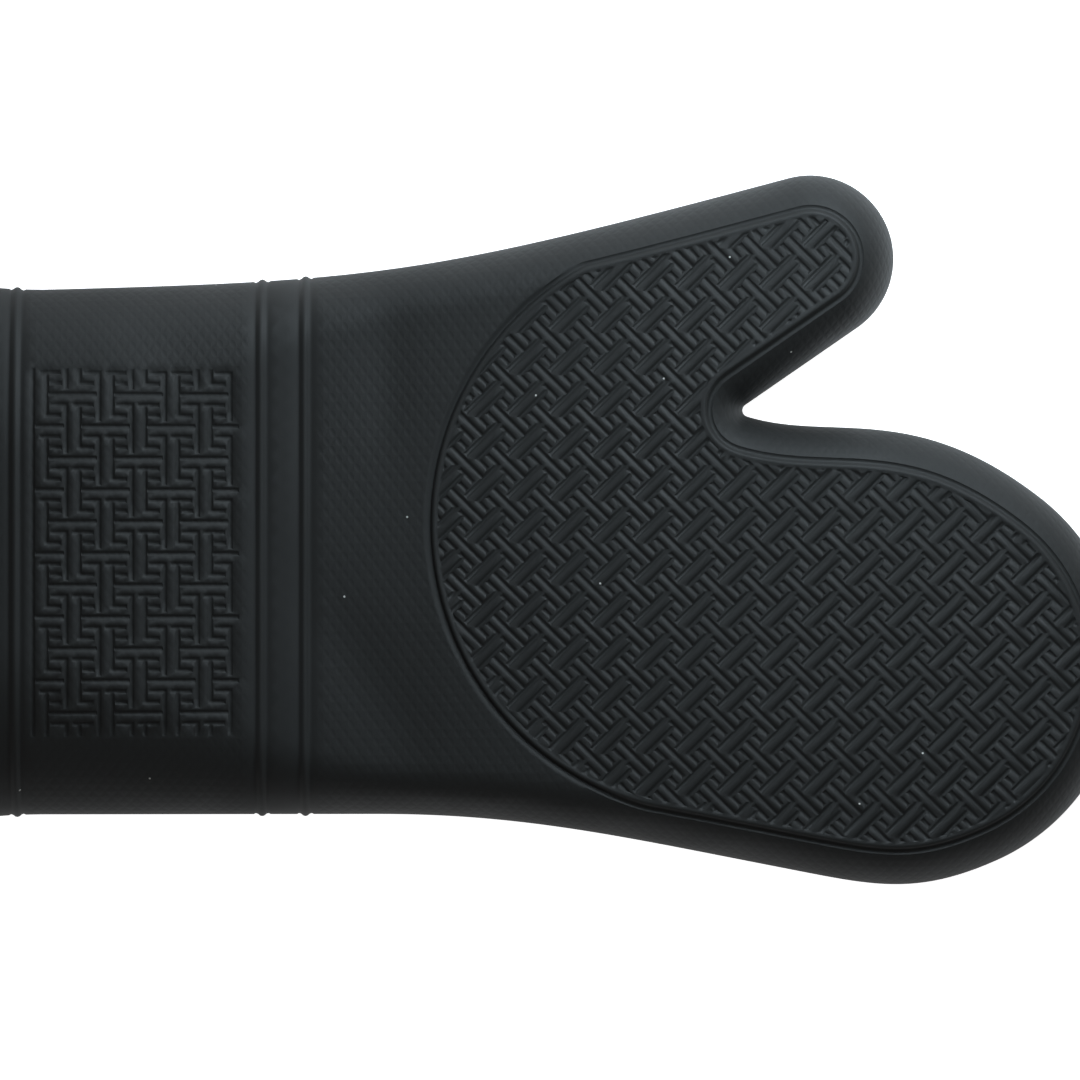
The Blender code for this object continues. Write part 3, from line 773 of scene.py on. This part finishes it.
def make_lint():
    """Stray specks of dust and lint: one here and there, each a fraction of a millimetre across."""
    tree, given, out = shader_group("lint", {"Spacing": 0.01, "Size": 0.0002, "Share": 0.3}, "Mask")
    fineness = maths(tree, "DIVIDE", 1.0, given["Spacing"])
    cells = node(tree, "TexVoronoi", {"Vector": given["Vector"], "Scale": fineness}, voronoi_dimensions="2D")
    reach = maths(tree, "DIVIDE", given["Size"], given["Spacing"])
    near = between(tree, cells.outputs["Distance"], maths(tree, "MULTIPLY", reach, 0.6), reach, 1.0, 0.0)
    chance = node(tree, "SeparateColor", {"Color": cells.outputs["Color"]}).outputs["Red"]
    picked = maths(tree, "LESS_THAN", chance, given["Share"])
    plug(tree, maths(tree, "MULTIPLY", near, picked), out["Mask"])
    return tree


def make_drift():
    """Slow unevenness: a value about 0.5 that wanders over distances of about Scale."""
    tree, given, out = shader_group("drift", {"Scale": 0.03, "Contrast": 1.0}, "Value")
    fineness = maths(tree, "DIVIDE", 1.0, given["Scale"])
    noise = node(tree, "TexNoise", {"Vector": given["Vector"], "Scale": fineness, "Detail": 3.0,
                                    "Roughness": 0.55})
    centred = maths(tree, "MULTIPLY", maths(tree, "SUBTRACT", noise.outputs["Fac"], 0.5), given["Contrast"])
    plug(tree, maths(tree, "ADD", centred, 0.5), out["Value"])
    return tree


lint = make_lint()
drift = make_drift()


def wandering(tree, vector, scale, contrast):
    """The drift over a surface."""
    return use_group(tree, drift, {"Vector": vector, "Scale": scale, "Contrast": contrast})["Value"]


BLACK_SILICONE = (0.0042, 0.0047, 0.0046, 1.0)
WORN_SILICONE = (0.0062, 0.0068, 0.0067, 1.0)
DUST = (0.45, 0.45, 0.43, 1.0)
KNURL_WIDTH = 0.0031
KNURL_LENGTH = 0.0044
KNURL_RISE = 0.00004
GRAIN = 0.00035
GRAIN_RISE = 0.00003
SPECKS = {"Spacing": 0.016, "Size": 0.00030, "Share": 0.06}


def make_silicone():
    """Matt black rubber: a diamond knurl on the plain ground, a fine mould grain and a few specks of dust."""
    material, tree, shader = new_material("black_silicone", 0.5, IOR=1.43)
    lay, place = marked(tree, "lay")["Vector"], object_place(tree)
    wander = wandering(tree, place, 0.035, 1.6)
    specks = use_group(tree, lint, {"Vector": lay, **SPECKS})["Mask"]
    rubber = blend_colours(tree, wander, BLACK_SILICONE, WORN_SILICONE)
    plug(tree, blend_colours(tree, specks, rubber, DUST), shader["Base Color"])
    rough = between(tree, wander, 0.0, 1.0, 0.58, 0.70)
    plug(tree, maths(tree, "MAXIMUM", rough, specks), shader["Roughness"])

    # The knurl's diamonds lie point to point along the mitt, each a flat little pyramid.
    across = split(tree, lay)
    u = maths(tree, "DIVIDE", across["X"], KNURL_WIDTH)
    v = maths(tree, "DIVIDE", across["Y"], KNURL_LENGTH)
    one = maths(tree, "PINGPONG", maths(tree, "ADD", u, v), 0.5)
    two = maths(tree, "PINGPONG", maths(tree, "SUBTRACT", u, v), 0.5)
    pyramid = between(tree, maths(tree, "MINIMUM", one, two), 0.02, 0.34)
    diamonds = bumped(tree, maths(tree, "MULTIPLY", pyramid, marked(tree, "knurl")["Fac"]), KNURL_RISE)
    grain = node(tree, "TexNoise", {"Vector": place, "Scale": 1 / GRAIN, "Detail": 2.0}).outputs["Fac"]
    plug(tree, bumped(tree, grain, GRAIN_RISE, 0.5, Normal=diamonds), shader["Normal"])
    return material


silicone = make_silicone()
for skin, half_name in zip(skins, ("palm", "back")):
    skin.data.materials.append(silicone)
    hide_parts(half_name + "_shell")
    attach(skin, "mitt")

# ---- Quilted lining ----
# Thin grey cotton, quilted in diamonds through the wadding behind it, lines each face and is cut level with
# the mouth. The quilting thread draws narrow creases, and the cotton puffs up between them.
LINING_DEPTH = 0.0069
LINING_WALL = 0.0005
QUILT_PITCH = 0.0250
QUILT_PUFF = 0.0016
PUFF_FULLNESS = 2.4
QUILT_WRINKLE = 0.00018
# Two waves cross to make the wrinkles, each as (its length, how far it sways, the length of its sway).
WRINKLE_WAVES = ((0.0113, 1.7, 0.031), (0.0087, 1.3, 0.027))
PLAIN_AT_SEAM = (0.0045, 0.0100)
PLAIN_AT_MOUTH = (0.0115, 0.0190)

quilt_plan = FlatPlan(STATIONS, SKIN_RINGS, MOUTH_INSETS, dots=open_ground(0.0022, False))


def swaying(along, beside, length, sway, sway_length):
    """A wave along one way, which sways to and fro with the other."""
    return np.sin(along / length + sway * np.sin(beside / sway_length))


def puffs(points, inset):
    """How far the cotton stands up: nothing on a crease, at the seam and under the binding."""
    turned = points @ np.array([[1.0, 1.0], [1.0, -1.0]]) / 2**0.5
    crease = np.abs((turned / QUILT_PITCH + 0.5) % 1 - 0.5).min(axis=1) * 2
    rise = QUILT_PUFF * (1 - (1 - crease)**PUFF_FULLNESS)
    x, y = points.T * 2 * pi
    wrinkle = swaying(x, y, *WRINKLE_WAVES[0]) * swaying(y, x, *WRINKLE_WAVES[1])
    rise += QUILT_WRINKLE * wrinkle * smooth(crease * 2)
    (seam_low, seam_high), (mouth_low, mouth_high) = PLAIN_AT_SEAM, PLAIN_AT_MOUTH
    clear = smooth((inset - seam_low) / (seam_high - seam_low))
    return rise * clear * smooth((points[:, 0] - mouth_low) / (mouth_high - mouth_low))


quilts = []
quilt_lay = unrolled(quilt_plan)
for half_name, side in (("palm", 1), ("back", -1)):
    outer = plain_plan.lift(LINING_DEPTH, side)
    inner = quilt_plan.lift(LINING_DEPTH + LINING_WALL, side, -puffs(quilt_plan.points, quilt_plan.inset))
    rim = rim_row(quilt_plan, 0.0001, LINING_DEPTH + LINING_WALL / 2, side)
    quilt = solid(half_name + "_quilt", outer, plain_plan, inner, quilt_plan, [rim])
    mark(quilt, "lay", np.vstack((plain_lay, quilt_lay, quilt_lay[quilt_plan.mouth])))
    flat = quilt_plan.points
    mark(quilt, "plan", np.vstack((plain_plan.points, flat, flat[quilt_plan.mouth])))
    quilts.append(quilt)


def make_weave():
    """Woven threads, as the Height of the one on top; the cloth materials also use it as the mask of their
    painted shade between threads. A Repeat of 2 is a plain weave, and 4 a twill.
    """
    tree, given, out = shader_group("weave", {"Thread": 0.0005, "Repeat": 2.0}, "Height")
    flat = split(tree, given["Vector"])
    u = maths(tree, "DIVIDE", flat["X"], given["Thread"])
    v = maths(tree, "DIVIDE", flat["Y"], given["Thread"])
    step = maths(tree, "FLOORED_MODULO", maths(tree, "ADD", maths(tree, "FLOOR", u), maths(tree, "FLOOR", v)),
                 given["Repeat"])
    over = maths(tree, "LESS_THAN", step, maths(tree, "MULTIPLY", given["Repeat"], 0.5))
    warp = maths(tree, "MULTIPLY", between(tree, maths(tree, "PINGPONG", u, 0.5), 0.0, 0.42), over)
    weft = maths(tree, "MULTIPLY", between(tree, maths(tree, "PINGPONG", v, 0.5), 0.0, 0.42),
                 maths(tree, "SUBTRACT", 1.0, over))
    plug(tree, maths(tree, "ADD", warp, weft), out["Height"])
    return tree


weave = make_weave()


def woven(tree, vector, thread, repeat=2.0):
    return use_group(tree, weave, {"Vector": vector, "Thread": thread, "Repeat": repeat})["Height"]



COTTON_THREAD = 0.00042
COTTON_RISE = 0.00009
COTTON_GREY = (0.42, 0.43, 0.44, 1.0)
COTTON_PAINTED_SHADE = (0.27, 0.28, 0.29, 1.0)
QUILTING_THREAD = (0.60, 0.61, 0.62, 1.0)
QUILTING_WIDTH = 0.00035
QUILTING_STITCH = 0.0030


def make_cotton():
    """Plain-woven cotton with painted shade between its threads, and rows of quilting stitches sunk along its
    creases.
    """
    material, tree, shader = new_material("quilted_cotton", 0.85, Sheen_Weight=0.25, Sheen_Roughness=0.4)
    lay = marked(tree, "lay")["Vector"]
    cloth = woven(tree, lay, COTTON_THREAD)
    light = between(tree, wandering(tree, lay, 0.018, 1.2), 0.0, 1.0, 0.75, 1.0)
    # Painted shade: the cotton turns the darker grey where the weave is low, between the threads, over slow
    # random patches.
    ground = blend_colours(tree, maths(tree, "MULTIPLY", cloth, light), COTTON_PAINTED_SHADE, COTTON_GREY)

    plan = split(tree, marked(tree, "plan")["Vector"])
    rows = []
    for sign in ("ADD", "SUBTRACT"):
        across = maths(tree, "DIVIDE", maths(tree, sign, plan["X"], plan["Y"]), QUILT_PITCH * 2**0.5)
        along = maths(tree, "SUBTRACT" if sign == "ADD" else "ADD", plan["X"], plan["Y"])
        off = maths(tree, "MULTIPLY", maths(tree, "PINGPONG", across, 0.5), QUILT_PITCH)
        line = between(tree, off, QUILTING_WIDTH * 0.6, QUILTING_WIDTH, 1.0, 0.0)
        gap = maths(tree, "PINGPONG", maths(tree, "DIVIDE", along, QUILTING_STITCH * 2**0.5), 0.5)
        rows.append(maths(tree, "MULTIPLY", line, between(tree, gap, 0.07, 0.11)))
    stitched = maths(tree, "MAXIMUM", *rows)
    plug(tree, blend_colours(tree, stitched, ground, QUILTING_THREAD), shader["Base Color"])
    raised = maths(tree, "ADD", cloth, maths(tree, "MULTIPLY", stitched, 2.0))
    plug(tree, bumped(tree, raised, COTTON_RISE), shader["Normal"])
    return material


cotton = make_cotton()
for quilt, half_name in zip(quilts, ("palm", "back")):
    quilt.data.materials.append(cotton)
    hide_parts(half_name + "_lining")
    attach(quilt, "mitt")

# ---- Wadding and scrim ----
# Needled white cotton wadding fills each quilt, and an open scrim backs it against the silicone. Both are
# closed in by the shell, the lining and the binding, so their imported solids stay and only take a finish.
WADDING_FIBRE = 0.0006
WADDING_RISE = 0.0003
WADDING_LIGHT = (0.80, 0.80, 0.78, 1.0)
WADDING_PAINTED_SHADE = (0.66, 0.66, 0.63, 1.0)
SCRIM_THREAD = 0.0011
SCRIM_RISE = 0.0002
SCRIM_LIGHT = (0.62, 0.61, 0.58, 1.0)
SCRIM_PAINTED_SHADE = (0.34, 0.33, 0.31, 1.0)


def make_wadding():
    """Matted fibres: short noise drawn out one way over slow, thick and thin patches, with painted shade
    between the fibres.
    """
    material, tree, shader = new_material("needled_wadding", 1.0, Sheen_Weight=0.4)
    place = object_place(tree)
    drawn = node(tree, "VectorMath", {0: place, 1: (0.35, 1.0, 1.0)}, operation="MULTIPLY").outputs["Vector"]
    fibres = node(tree, "TexNoise", {"Vector": drawn, "Scale": 1 / WADDING_FIBRE, "Detail": 4.0,
                                     "Distortion": 1.5}).outputs["Fac"]
    # Painted shade: where the fibres' height is low, in the bump's hollows, the wadding turns the darker
    # colour.
    shade = between(tree, maths(tree, "MULTIPLY", fibres, wandering(tree, place, 0.012, 1.4)), 0.1, 0.4)
    plug(tree, blend_colours(tree, shade, WADDING_PAINTED_SHADE, WADDING_LIGHT), shader["Base Color"])
    plug(tree, bumped(tree, fibres, WADDING_RISE), shader["Normal"])
    return material


def make_scrim():
    """An open plain weave of thick soft threads, with painted shade between them."""
    material, tree, shader = new_material("scrim_cloth", 0.95)
    cloth = woven(tree, object_place(tree), SCRIM_THREAD)
    # Painted shade: the scrim turns the darker colour where the weave is low, between its threads.
    plug(tree, blend_colours(tree, cloth, SCRIM_PAINTED_SHADE, SCRIM_LIGHT), shader["Base Color"])
    plug(tree, bumped(tree, cloth, SCRIM_RISE), shader["Normal"])
    return material


for layer, finish in (("wadding", make_wadding()), ("scrim", make_scrim())):
    for half_name in ("palm", "back"):
        frame["nodes"][half_name + "_" + layer].material_slots[0].material = finish

# ---- Seam tape ----
# A narrow black twill tape covers the seam where the two linings meet, all round the inside of the hand.
TAPE_THREAD = 0.00050
TAPE_RISE = 0.00010
TAPE_BLACK = (0.030, 0.030, 0.032, 1.0)
TAPE_PAINTED_SHADE = (0.012, 0.012, 0.013, 1.0)


def make_twill(name, vector_of):
    """Black cotton twill with painted shade between its threads; vector_of gives the cloth's own coordinates
    in a node tree.
    """
    material, tree, shader = new_material(name, 0.80, Sheen_Weight=0.35, Sheen_Roughness=0.45)
    lay = vector_of(tree)
    cloth = woven(tree, lay, TAPE_THREAD, 4.0)
    light = between(tree, wandering(tree, lay, 0.009, 1.3), 0.0, 1.0, 0.6, 1.0)
    # Painted shade: the tape turns the darker black where the twill is low, between the threads, over slow
    # random patches.
    plug(tree, blend_colours(tree, maths(tree, "MULTIPLY", cloth, light), TAPE_PAINTED_SHADE, TAPE_BLACK),
         shader["Base Color"])
    plug(tree, between(tree, cloth, 0.0, 1.0, 0.92, 0.72), shader["Roughness"])
    plug(tree, bumped(tree, cloth, TAPE_RISE), shader["Normal"])
    return material


def along_seam(tree):
    """The seam tape stands on edge, so its cloth runs with the plan one way and with the height the other."""
    place = split(tree, object_place(tree))
    run = maths(tree, "ADD", place["X"], place["Y"])
    return node(tree, "CombineXYZ", {"X": run, "Y": place["Z"]}).outputs["Vector"]


frame["nodes"]["seam_tape"].material_slots[0].material = make_twill("seam_twill", along_seam)

# ---- Cuff binding ----
# A black cotton twill tape is folded over the raw mouth of the quilt. One leg lies between the silicone and
# the scrim and the other on the lining, and the sewing pulls small puckers into its fold.
BINDING_LEG = 0.0100
BINDING_FOLD = 0.0015
BINDING_WALL = 0.0005
STITCH_LINE = 0.0070
BINDING_DEPTHS = (0.0023, 0.0082)
BINDING_PUCKER = 0.00014
PUCKER_SPACING = 0.0058
PUCKER_RUN = 0.0045
PUCKER_SWAY, SWAY_LENGTH = 1.1, 0.013
FOLD_FULLNESS = 0.6
# The rows along each leg, from its edge to the fold and closest by the stitches.
LEG_ROWS = (BINDING_LEG, 0.0085, STITCH_LINE + 0.0006, STITCH_LINE, STITCH_LINE - 0.0006, 0.0045, 0.0020)
MOUTH_STEPS = 260
ROLL_STEPS = 60


def mouth_walk(x, count):
    """Even steps round the mouth at x: the roll's middle in Y, the angle on it, and the distance walked."""
    edge, _ = outline([max(x, 0.0), CUFF_RUN])
    high, low = edge[0][1] - roll(x), edge[-1][1] + roll(x)
    turn = np.linspace(pi / 2, -pi / 2, ROLL_STEPS)
    middles = np.concatenate((np.full(ROLL_STEPS, high), np.full(ROLL_STEPS, low), [high]))
    turns = np.concatenate((turn, turn - pi, [-1.5 * pi]))
    y, z = middles + roll(x) * np.cos(turns), thickness(x) / 2 * np.sin(turns)
    walked = np.concatenate(([0.0], np.cumsum(np.hypot(np.diff(y), np.diff(z)))))
    even = np.linspace(0.0, walked[-1], count, endpoint=False)
    return np.interp(even, walked, middles), np.interp(even, walked, turns), even


def round_mouth(x, middles, turns, depth):
    """The places of a walk, at x and at a depth in the wall; x and depth are one number or one a step."""
    bound = np.maximum(x, 0.0)
    y = middles + (roll(bound) - depth) * np.cos(turns)
    half = thickness(bound) / 2
    return np.column_stack((np.broadcast_to(x, y.shape) + MOUTH[0], y + MOUTH[1],
                            half + (half - depth) * np.sin(turns)))


def binding_section():
    """The fold's section as (x, depth): out along the silicone's side, round the fold, and back inside it."""
    first, last = BINDING_DEPTHS
    middle, reach = (first + last) / 2, (last - first) / 2
    bends = np.linspace(-pi / 2, pi / 2, 11)
    outside = [(x, first) for x in LEG_ROWS]
    outside += [(-(BINDING_FOLD - 0.0001) * cos(a)**FOLD_FULLNESS, middle + reach * sin(a)) for a in bends]
    outside += [(x, last) for x in LEG_ROWS[::-1]]
    reach -= BINDING_WALL
    inside = [(x, last - BINDING_WALL) for x in LEG_ROWS]
    inside += [(0.0004 - BINDING_FOLD * cos(a)**FOLD_FULLNESS, middle - reach * sin(a)) for a in bends]
    inside += [(x, first + BINDING_WALL) for x in LEG_ROWS[::-1]]
    return outside + inside


binding_verts, binding_lay = [], []
section = binding_section()
gone = 0.0
for here, before in zip(section, section[-1:] + section[:-1]):
    x, depth = here
    gone += float(np.hypot(x - before[0], depth - before[1]))
    middles, turns, walked = mouth_walk(x, MOUTH_STEPS)
    wave = swaying(2 * pi * walked, walked, PUCKER_SPACING, PUCKER_SWAY, SWAY_LENGTH)
    fold = smooth((PUCKER_RUN - x) / PUCKER_RUN)
    binding_verts.append(round_mouth(x + BINDING_PUCKER * wave * fold, middles, turns, depth))
    binding_lay.append(np.column_stack((np.abs(walked - walked[-1] / 2), np.full(MOUTH_STEPS, gone))))
binding_faces = []
for s in range(len(section)):
    here, beside = s * MOUTH_STEPS, (s + 1) % len(section) * MOUTH_STEPS
    for t in range(MOUTH_STEPS):
        after = (t + 1) % MOUTH_STEPS
        binding_faces.append((here + t, here + after, beside + after, beside + t))
binding = mesh_piece("folded_binding", np.vstack(binding_verts), binding_faces)
mark(binding, "lay", np.vstack(binding_lay))


def own_lay(tree):
    return marked(tree, "lay")["Vector"]


binding.data.materials.append(make_twill("binding_twill", own_lay))
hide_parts("cuff_binding")
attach(binding, "mitt")

# ---- Binding stitches ----
# A lockstitch of twisted polyester thread goes through the hem, the quilt and both legs of the binding. It
# shows as one row of short stitches on the silicone and another on the binding inside the mouth.
STITCH_PITCH = 0.0040
STITCH_SHARE = 0.74
STITCH_ARCH = 0.6
STITCH_STEPS = 8
WALK_STEPS = 2400
THREAD_RADIUS = 0.00024
THREAD_SIDES = 8
THREAD_END = 0.6
# A direction that no stitch runs along, from which each one's sides are turned out.
THREAD_ASIDE = np.array((0.31, 0.11, 0.94))


def walked_along(path):
    """How far along a path each of its points lies."""
    return np.concatenate(([0.0], np.cumsum(np.linalg.norm(np.diff(path, axis=0), axis=1))))


def tube_faces(start, rings, size):
    """The faces of a closed tube whose points follow ring by ring from start, `size` to a ring."""
    faces = []
    for k in range(rings - 1):
        for i in range(size):
            a, b = start + k * size + i, start + k * size + (i + 1) % size
            faces.append((a, b, b + size, a + size))
    last = start + (rings - 1) * size
    return faces + [tuple(range(start, start + size)), tuple(range(last, last + size))]


class Threads:
    """Lengths of thread gathered into one piece: each a closed tube along a list of places."""

    def __init__(self):
        self.verts, self.faces, self.lay = [], [], []

    def add(self, path):
        path = np.array(path)
        ahead = normalised(ahead_of(path))
        side = normalised(np.cross(ahead, THREAD_ASIDE))
        up = np.cross(side, ahead)
        self.faces += tube_faces(len(self.verts), len(path), THREAD_SIDES)
        for k, (place, gone) in enumerate(zip(path, walked_along(path))):
            thin = THREAD_END if k in (0, len(path) - 1) else 1.0
            for i in range(THREAD_SIDES):
                turn = 2 * pi * i / THREAD_SIDES
                self.verts.append(place + THREAD_RADIUS * thin * (side[k] * cos(turn) + up[k] * sin(turn)))
                self.lay.append((gone, abs(2 * i / THREAD_SIDES - 1)))

    def piece(self, name):
        made = mesh_piece(name, np.array(self.verts), self.faces)
        mark(made, "lay", np.array(self.lay))
        return made


def stitch_row(threads, face_depth, rise, sink):
    """Short arched stitches round the mouth; rise lifts each off the cloth and sink takes its ends in."""
    middles, turns, walked = mouth_walk(STITCH_LINE, WALK_STEPS)
    count = round(walked[-1] / STITCH_PITCH)
    for first in (k / count * WALK_STEPS for k in range(count)):
        steps = np.linspace(first, first + STITCH_SHARE * WALK_STEPS / count, STITCH_STEPS)
        arch = np.sin(np.linspace(0, pi, STITCH_STEPS))**STITCH_ARCH
        spots = np.minimum(steps.astype(int), WALK_STEPS - 1)
        # On the face the mitt lies on, the hem is a little thinner, as the skin is drawn in there.
        inset = roll(STITCH_LINE) * (1 - np.abs(np.cos(turns[spots])))
        drawn_in = (np.sin(turns[spots]) < 0) * (face_depth == 0.0)
        under = UNDERSIDE_LIFT * smooth(inset / UNDERSIDE_RUN) * drawn_in
        depth = face_depth + under + sink + (rise - sink) * arch
        threads.add(round_mouth(STITCH_LINE, middles[spots], turns[spots], depth))


row = Threads()
stitch_row(row, 0.0, -0.6 * THREAD_RADIUS, 1.6 * THREAD_RADIUS)
stitch_row(row, BINDING_DEPTHS[1], 0.7 * THREAD_RADIUS, -1.4 * THREAD_RADIUS)
stitches = row.piece("hem_stitches")

THREAD_GREY = (0.10, 0.10, 0.105, 1.0)
THREAD_PAINTED_SHADE = (0.035, 0.035, 0.037, 1.0)
THREAD_TWIST = 0.0007
THREAD_RISE = 0.00006


def make_thread():
    """Shiny twisted thread: its plies run round it as slanting ridges, with painted shade in the grooves
    between them.
    """
    material, tree, shader = new_material("sewing_thread", 0.42, Sheen_Weight=0.15)
    lay = split(tree, own_lay(tree))
    along = maths(tree, "DIVIDE", lay["X"], THREAD_TWIST)
    slant = maths(tree, "ADD", along, maths(tree, "MULTIPLY", lay["Y"], 0.5))
    ply = between(tree, maths(tree, "PINGPONG", slant, 0.5), 0.0, 0.4)
    # Painted shade: the grooves between the plies take the darker grey.
    plug(tree, blend_colours(tree, ply, THREAD_PAINTED_SHADE, THREAD_GREY), shader["Base Color"])
    plug(tree, bumped(tree, ply, THREAD_RISE), shader["Normal"])
    return material


sewing_thread = make_thread()
stitches.data.materials.append(sewing_thread)
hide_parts("binding_stitching")
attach(stitches, "mitt")

# ---- Hanging loop ----
# One length of black herringbone tape is doubled into an eye, and its two ends are laid together and sewn
# inside the mouth at the thumb's side. The tape is laid out from the pivot of the eye's swing, on the stitch
# line where it leaves the binding.
TAPE_WALL = 0.0012
TAPE_WIDTH = 0.0100
TAPE_TAIL = 0.0100
EYE_REACH = 0.0250
EYE_RADIUS = 0.0090
EYE_OPENING = radians(74.0)
NECK_PULLS = (0.0075, 0.0065)
HERRINGBONE = 0.0025
# The tape's section from one selvedge to the other: each place and the fullness there, as shares of a half.
TAPE_LEVELS = np.array((-1.0, -0.97, -0.90, -0.80, -0.4, 0.0, 0.4, 0.80, 0.90, 0.97, 1.0))
TAPE_FULLNESS = np.array((0.45, 0.80, 0.97, 0.90, 0.88, 0.88, 0.88, 0.90, 0.97, 0.80, 0.45))
loop_joint = next(j for j in frame["record"]["behaviour"]["joints"] if j["name"] == "loop_swing")
PIVOT = np.array(loop_joint["pos_m"])


def tape_path():
    """The tape's middle line in plan, from one end through the eye to the other, from the pivot."""
    radius, half = EYE_RADIUS - TAPE_WALL / 2, TAPE_WALL / 2
    centre = np.array((-EYE_REACH, 0.0))
    tail = np.linspace((TAPE_TAIL + MOUTH[0] - PIVOT[0], half), (0.0006, half), 14)
    leave, arrive = np.array((-NECK_PULLS[0], 0.0)), NECK_PULLS[1] * heading(EYE_OPENING - pi / 2)
    swing_out = bezier(np.array((0.0, half)), leave, arrive, centre + radius * heading(EYE_OPENING), 26)
    eye = arc(centre, radius, EYE_OPENING, 2 * pi - EYE_OPENING, 56)
    upper = np.vstack((tail, swing_out))
    return np.vstack((upper, eye[1:-1], (upper * (1, -1))[::-1]))


def tape_strip(name, path, height):
    """A woven strip on edge along a path, with its two selvedges a little fuller than its middle."""
    ahead = ahead_of(path)
    out = normalised(np.column_stack((-ahead[:, 1], ahead[:, 0])))
    levels, fuller = TAPE_WIDTH / 2 * TAPE_LEVELS, TAPE_WALL / 2 * TAPE_FULLNESS
    section = list(zip(levels, fuller)) + list(zip(levels[::-1], -fuller[::-1]))
    verts, lay = [], []
    for place, normal, run in zip(path, out, walked_along(path)):
        for z, side in section:
            verts.append((*(place + normal * side), height + z))
            lay.append((run, z))
    strip = mesh_piece(name, verts, tube_faces(0, len(path), len(section)))
    mark(strip, "lay", lay)
    return strip


loop_tape = tape_strip("herringbone_tape", tape_path() + PIVOT[:2], PIVOT[2])


def herringbone(tree):
    """The slant of the twill turns back every few threads across the tape."""
    lay = split(tree, own_lay(tree))
    back = maths(tree, "PINGPONG", maths(tree, "ADD", lay["Y"], TAPE_WIDTH), HERRINGBONE)
    return node(tree, "CombineXYZ", {"X": lay["X"], "Y": back}).outputs["Vector"]


loop_tape.data.materials.append(make_twill("loop_herringbone", herringbone))
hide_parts("loop_tail", "hanging_loop")
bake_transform(loop_tape)

# ---- Bartack ----
# A dense zigzag of the same thread, sewn back and forth across the tape's two ends, holds them in place.
TACK_PLACE = 0.0070
TACK_LENGTH = 0.0022
TACK_HEIGHT = 0.0060
TACK_PASSES = 15
# Each pass is drawn through these shares of its run, and bows out a little between its two ends.
TACK_SHARES = (0.04, 0.25, 0.50, 0.75, 0.96)
TACK_BOW = 0.6 * THREAD_RADIUS
tack_y = PIVOT[1] - TAPE_WALL - 0.8 * THREAD_RADIUS
tack_turns = []
for k in range(TACK_PASSES):
    x = MOUTH[0] + TACK_PLACE + (k % 2 - 0.5) * (TACK_LENGTH - 2 * THREAD_RADIUS)
    z = PIVOT[2] + (k / (TACK_PASSES - 1) - 0.5) * (TACK_HEIGHT - 2 * THREAD_RADIUS)
    tack_turns.append((x, tack_y, z))
zigzag = []
for one, two in zip(tack_turns, tack_turns[1:]):
    for share in TACK_SHARES:
        x, y, z = (1 - share) * np.array(one) + share * np.array(two)
        zigzag.append((x, y - TACK_BOW * sin(pi * share), z))
tack = Threads()
tack.add(zigzag)
bartack = tack.piece("zigzag_tack")
bartack.data.materials.append(sewing_thread)
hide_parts("loop_bartack")
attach(bartack, "mitt")
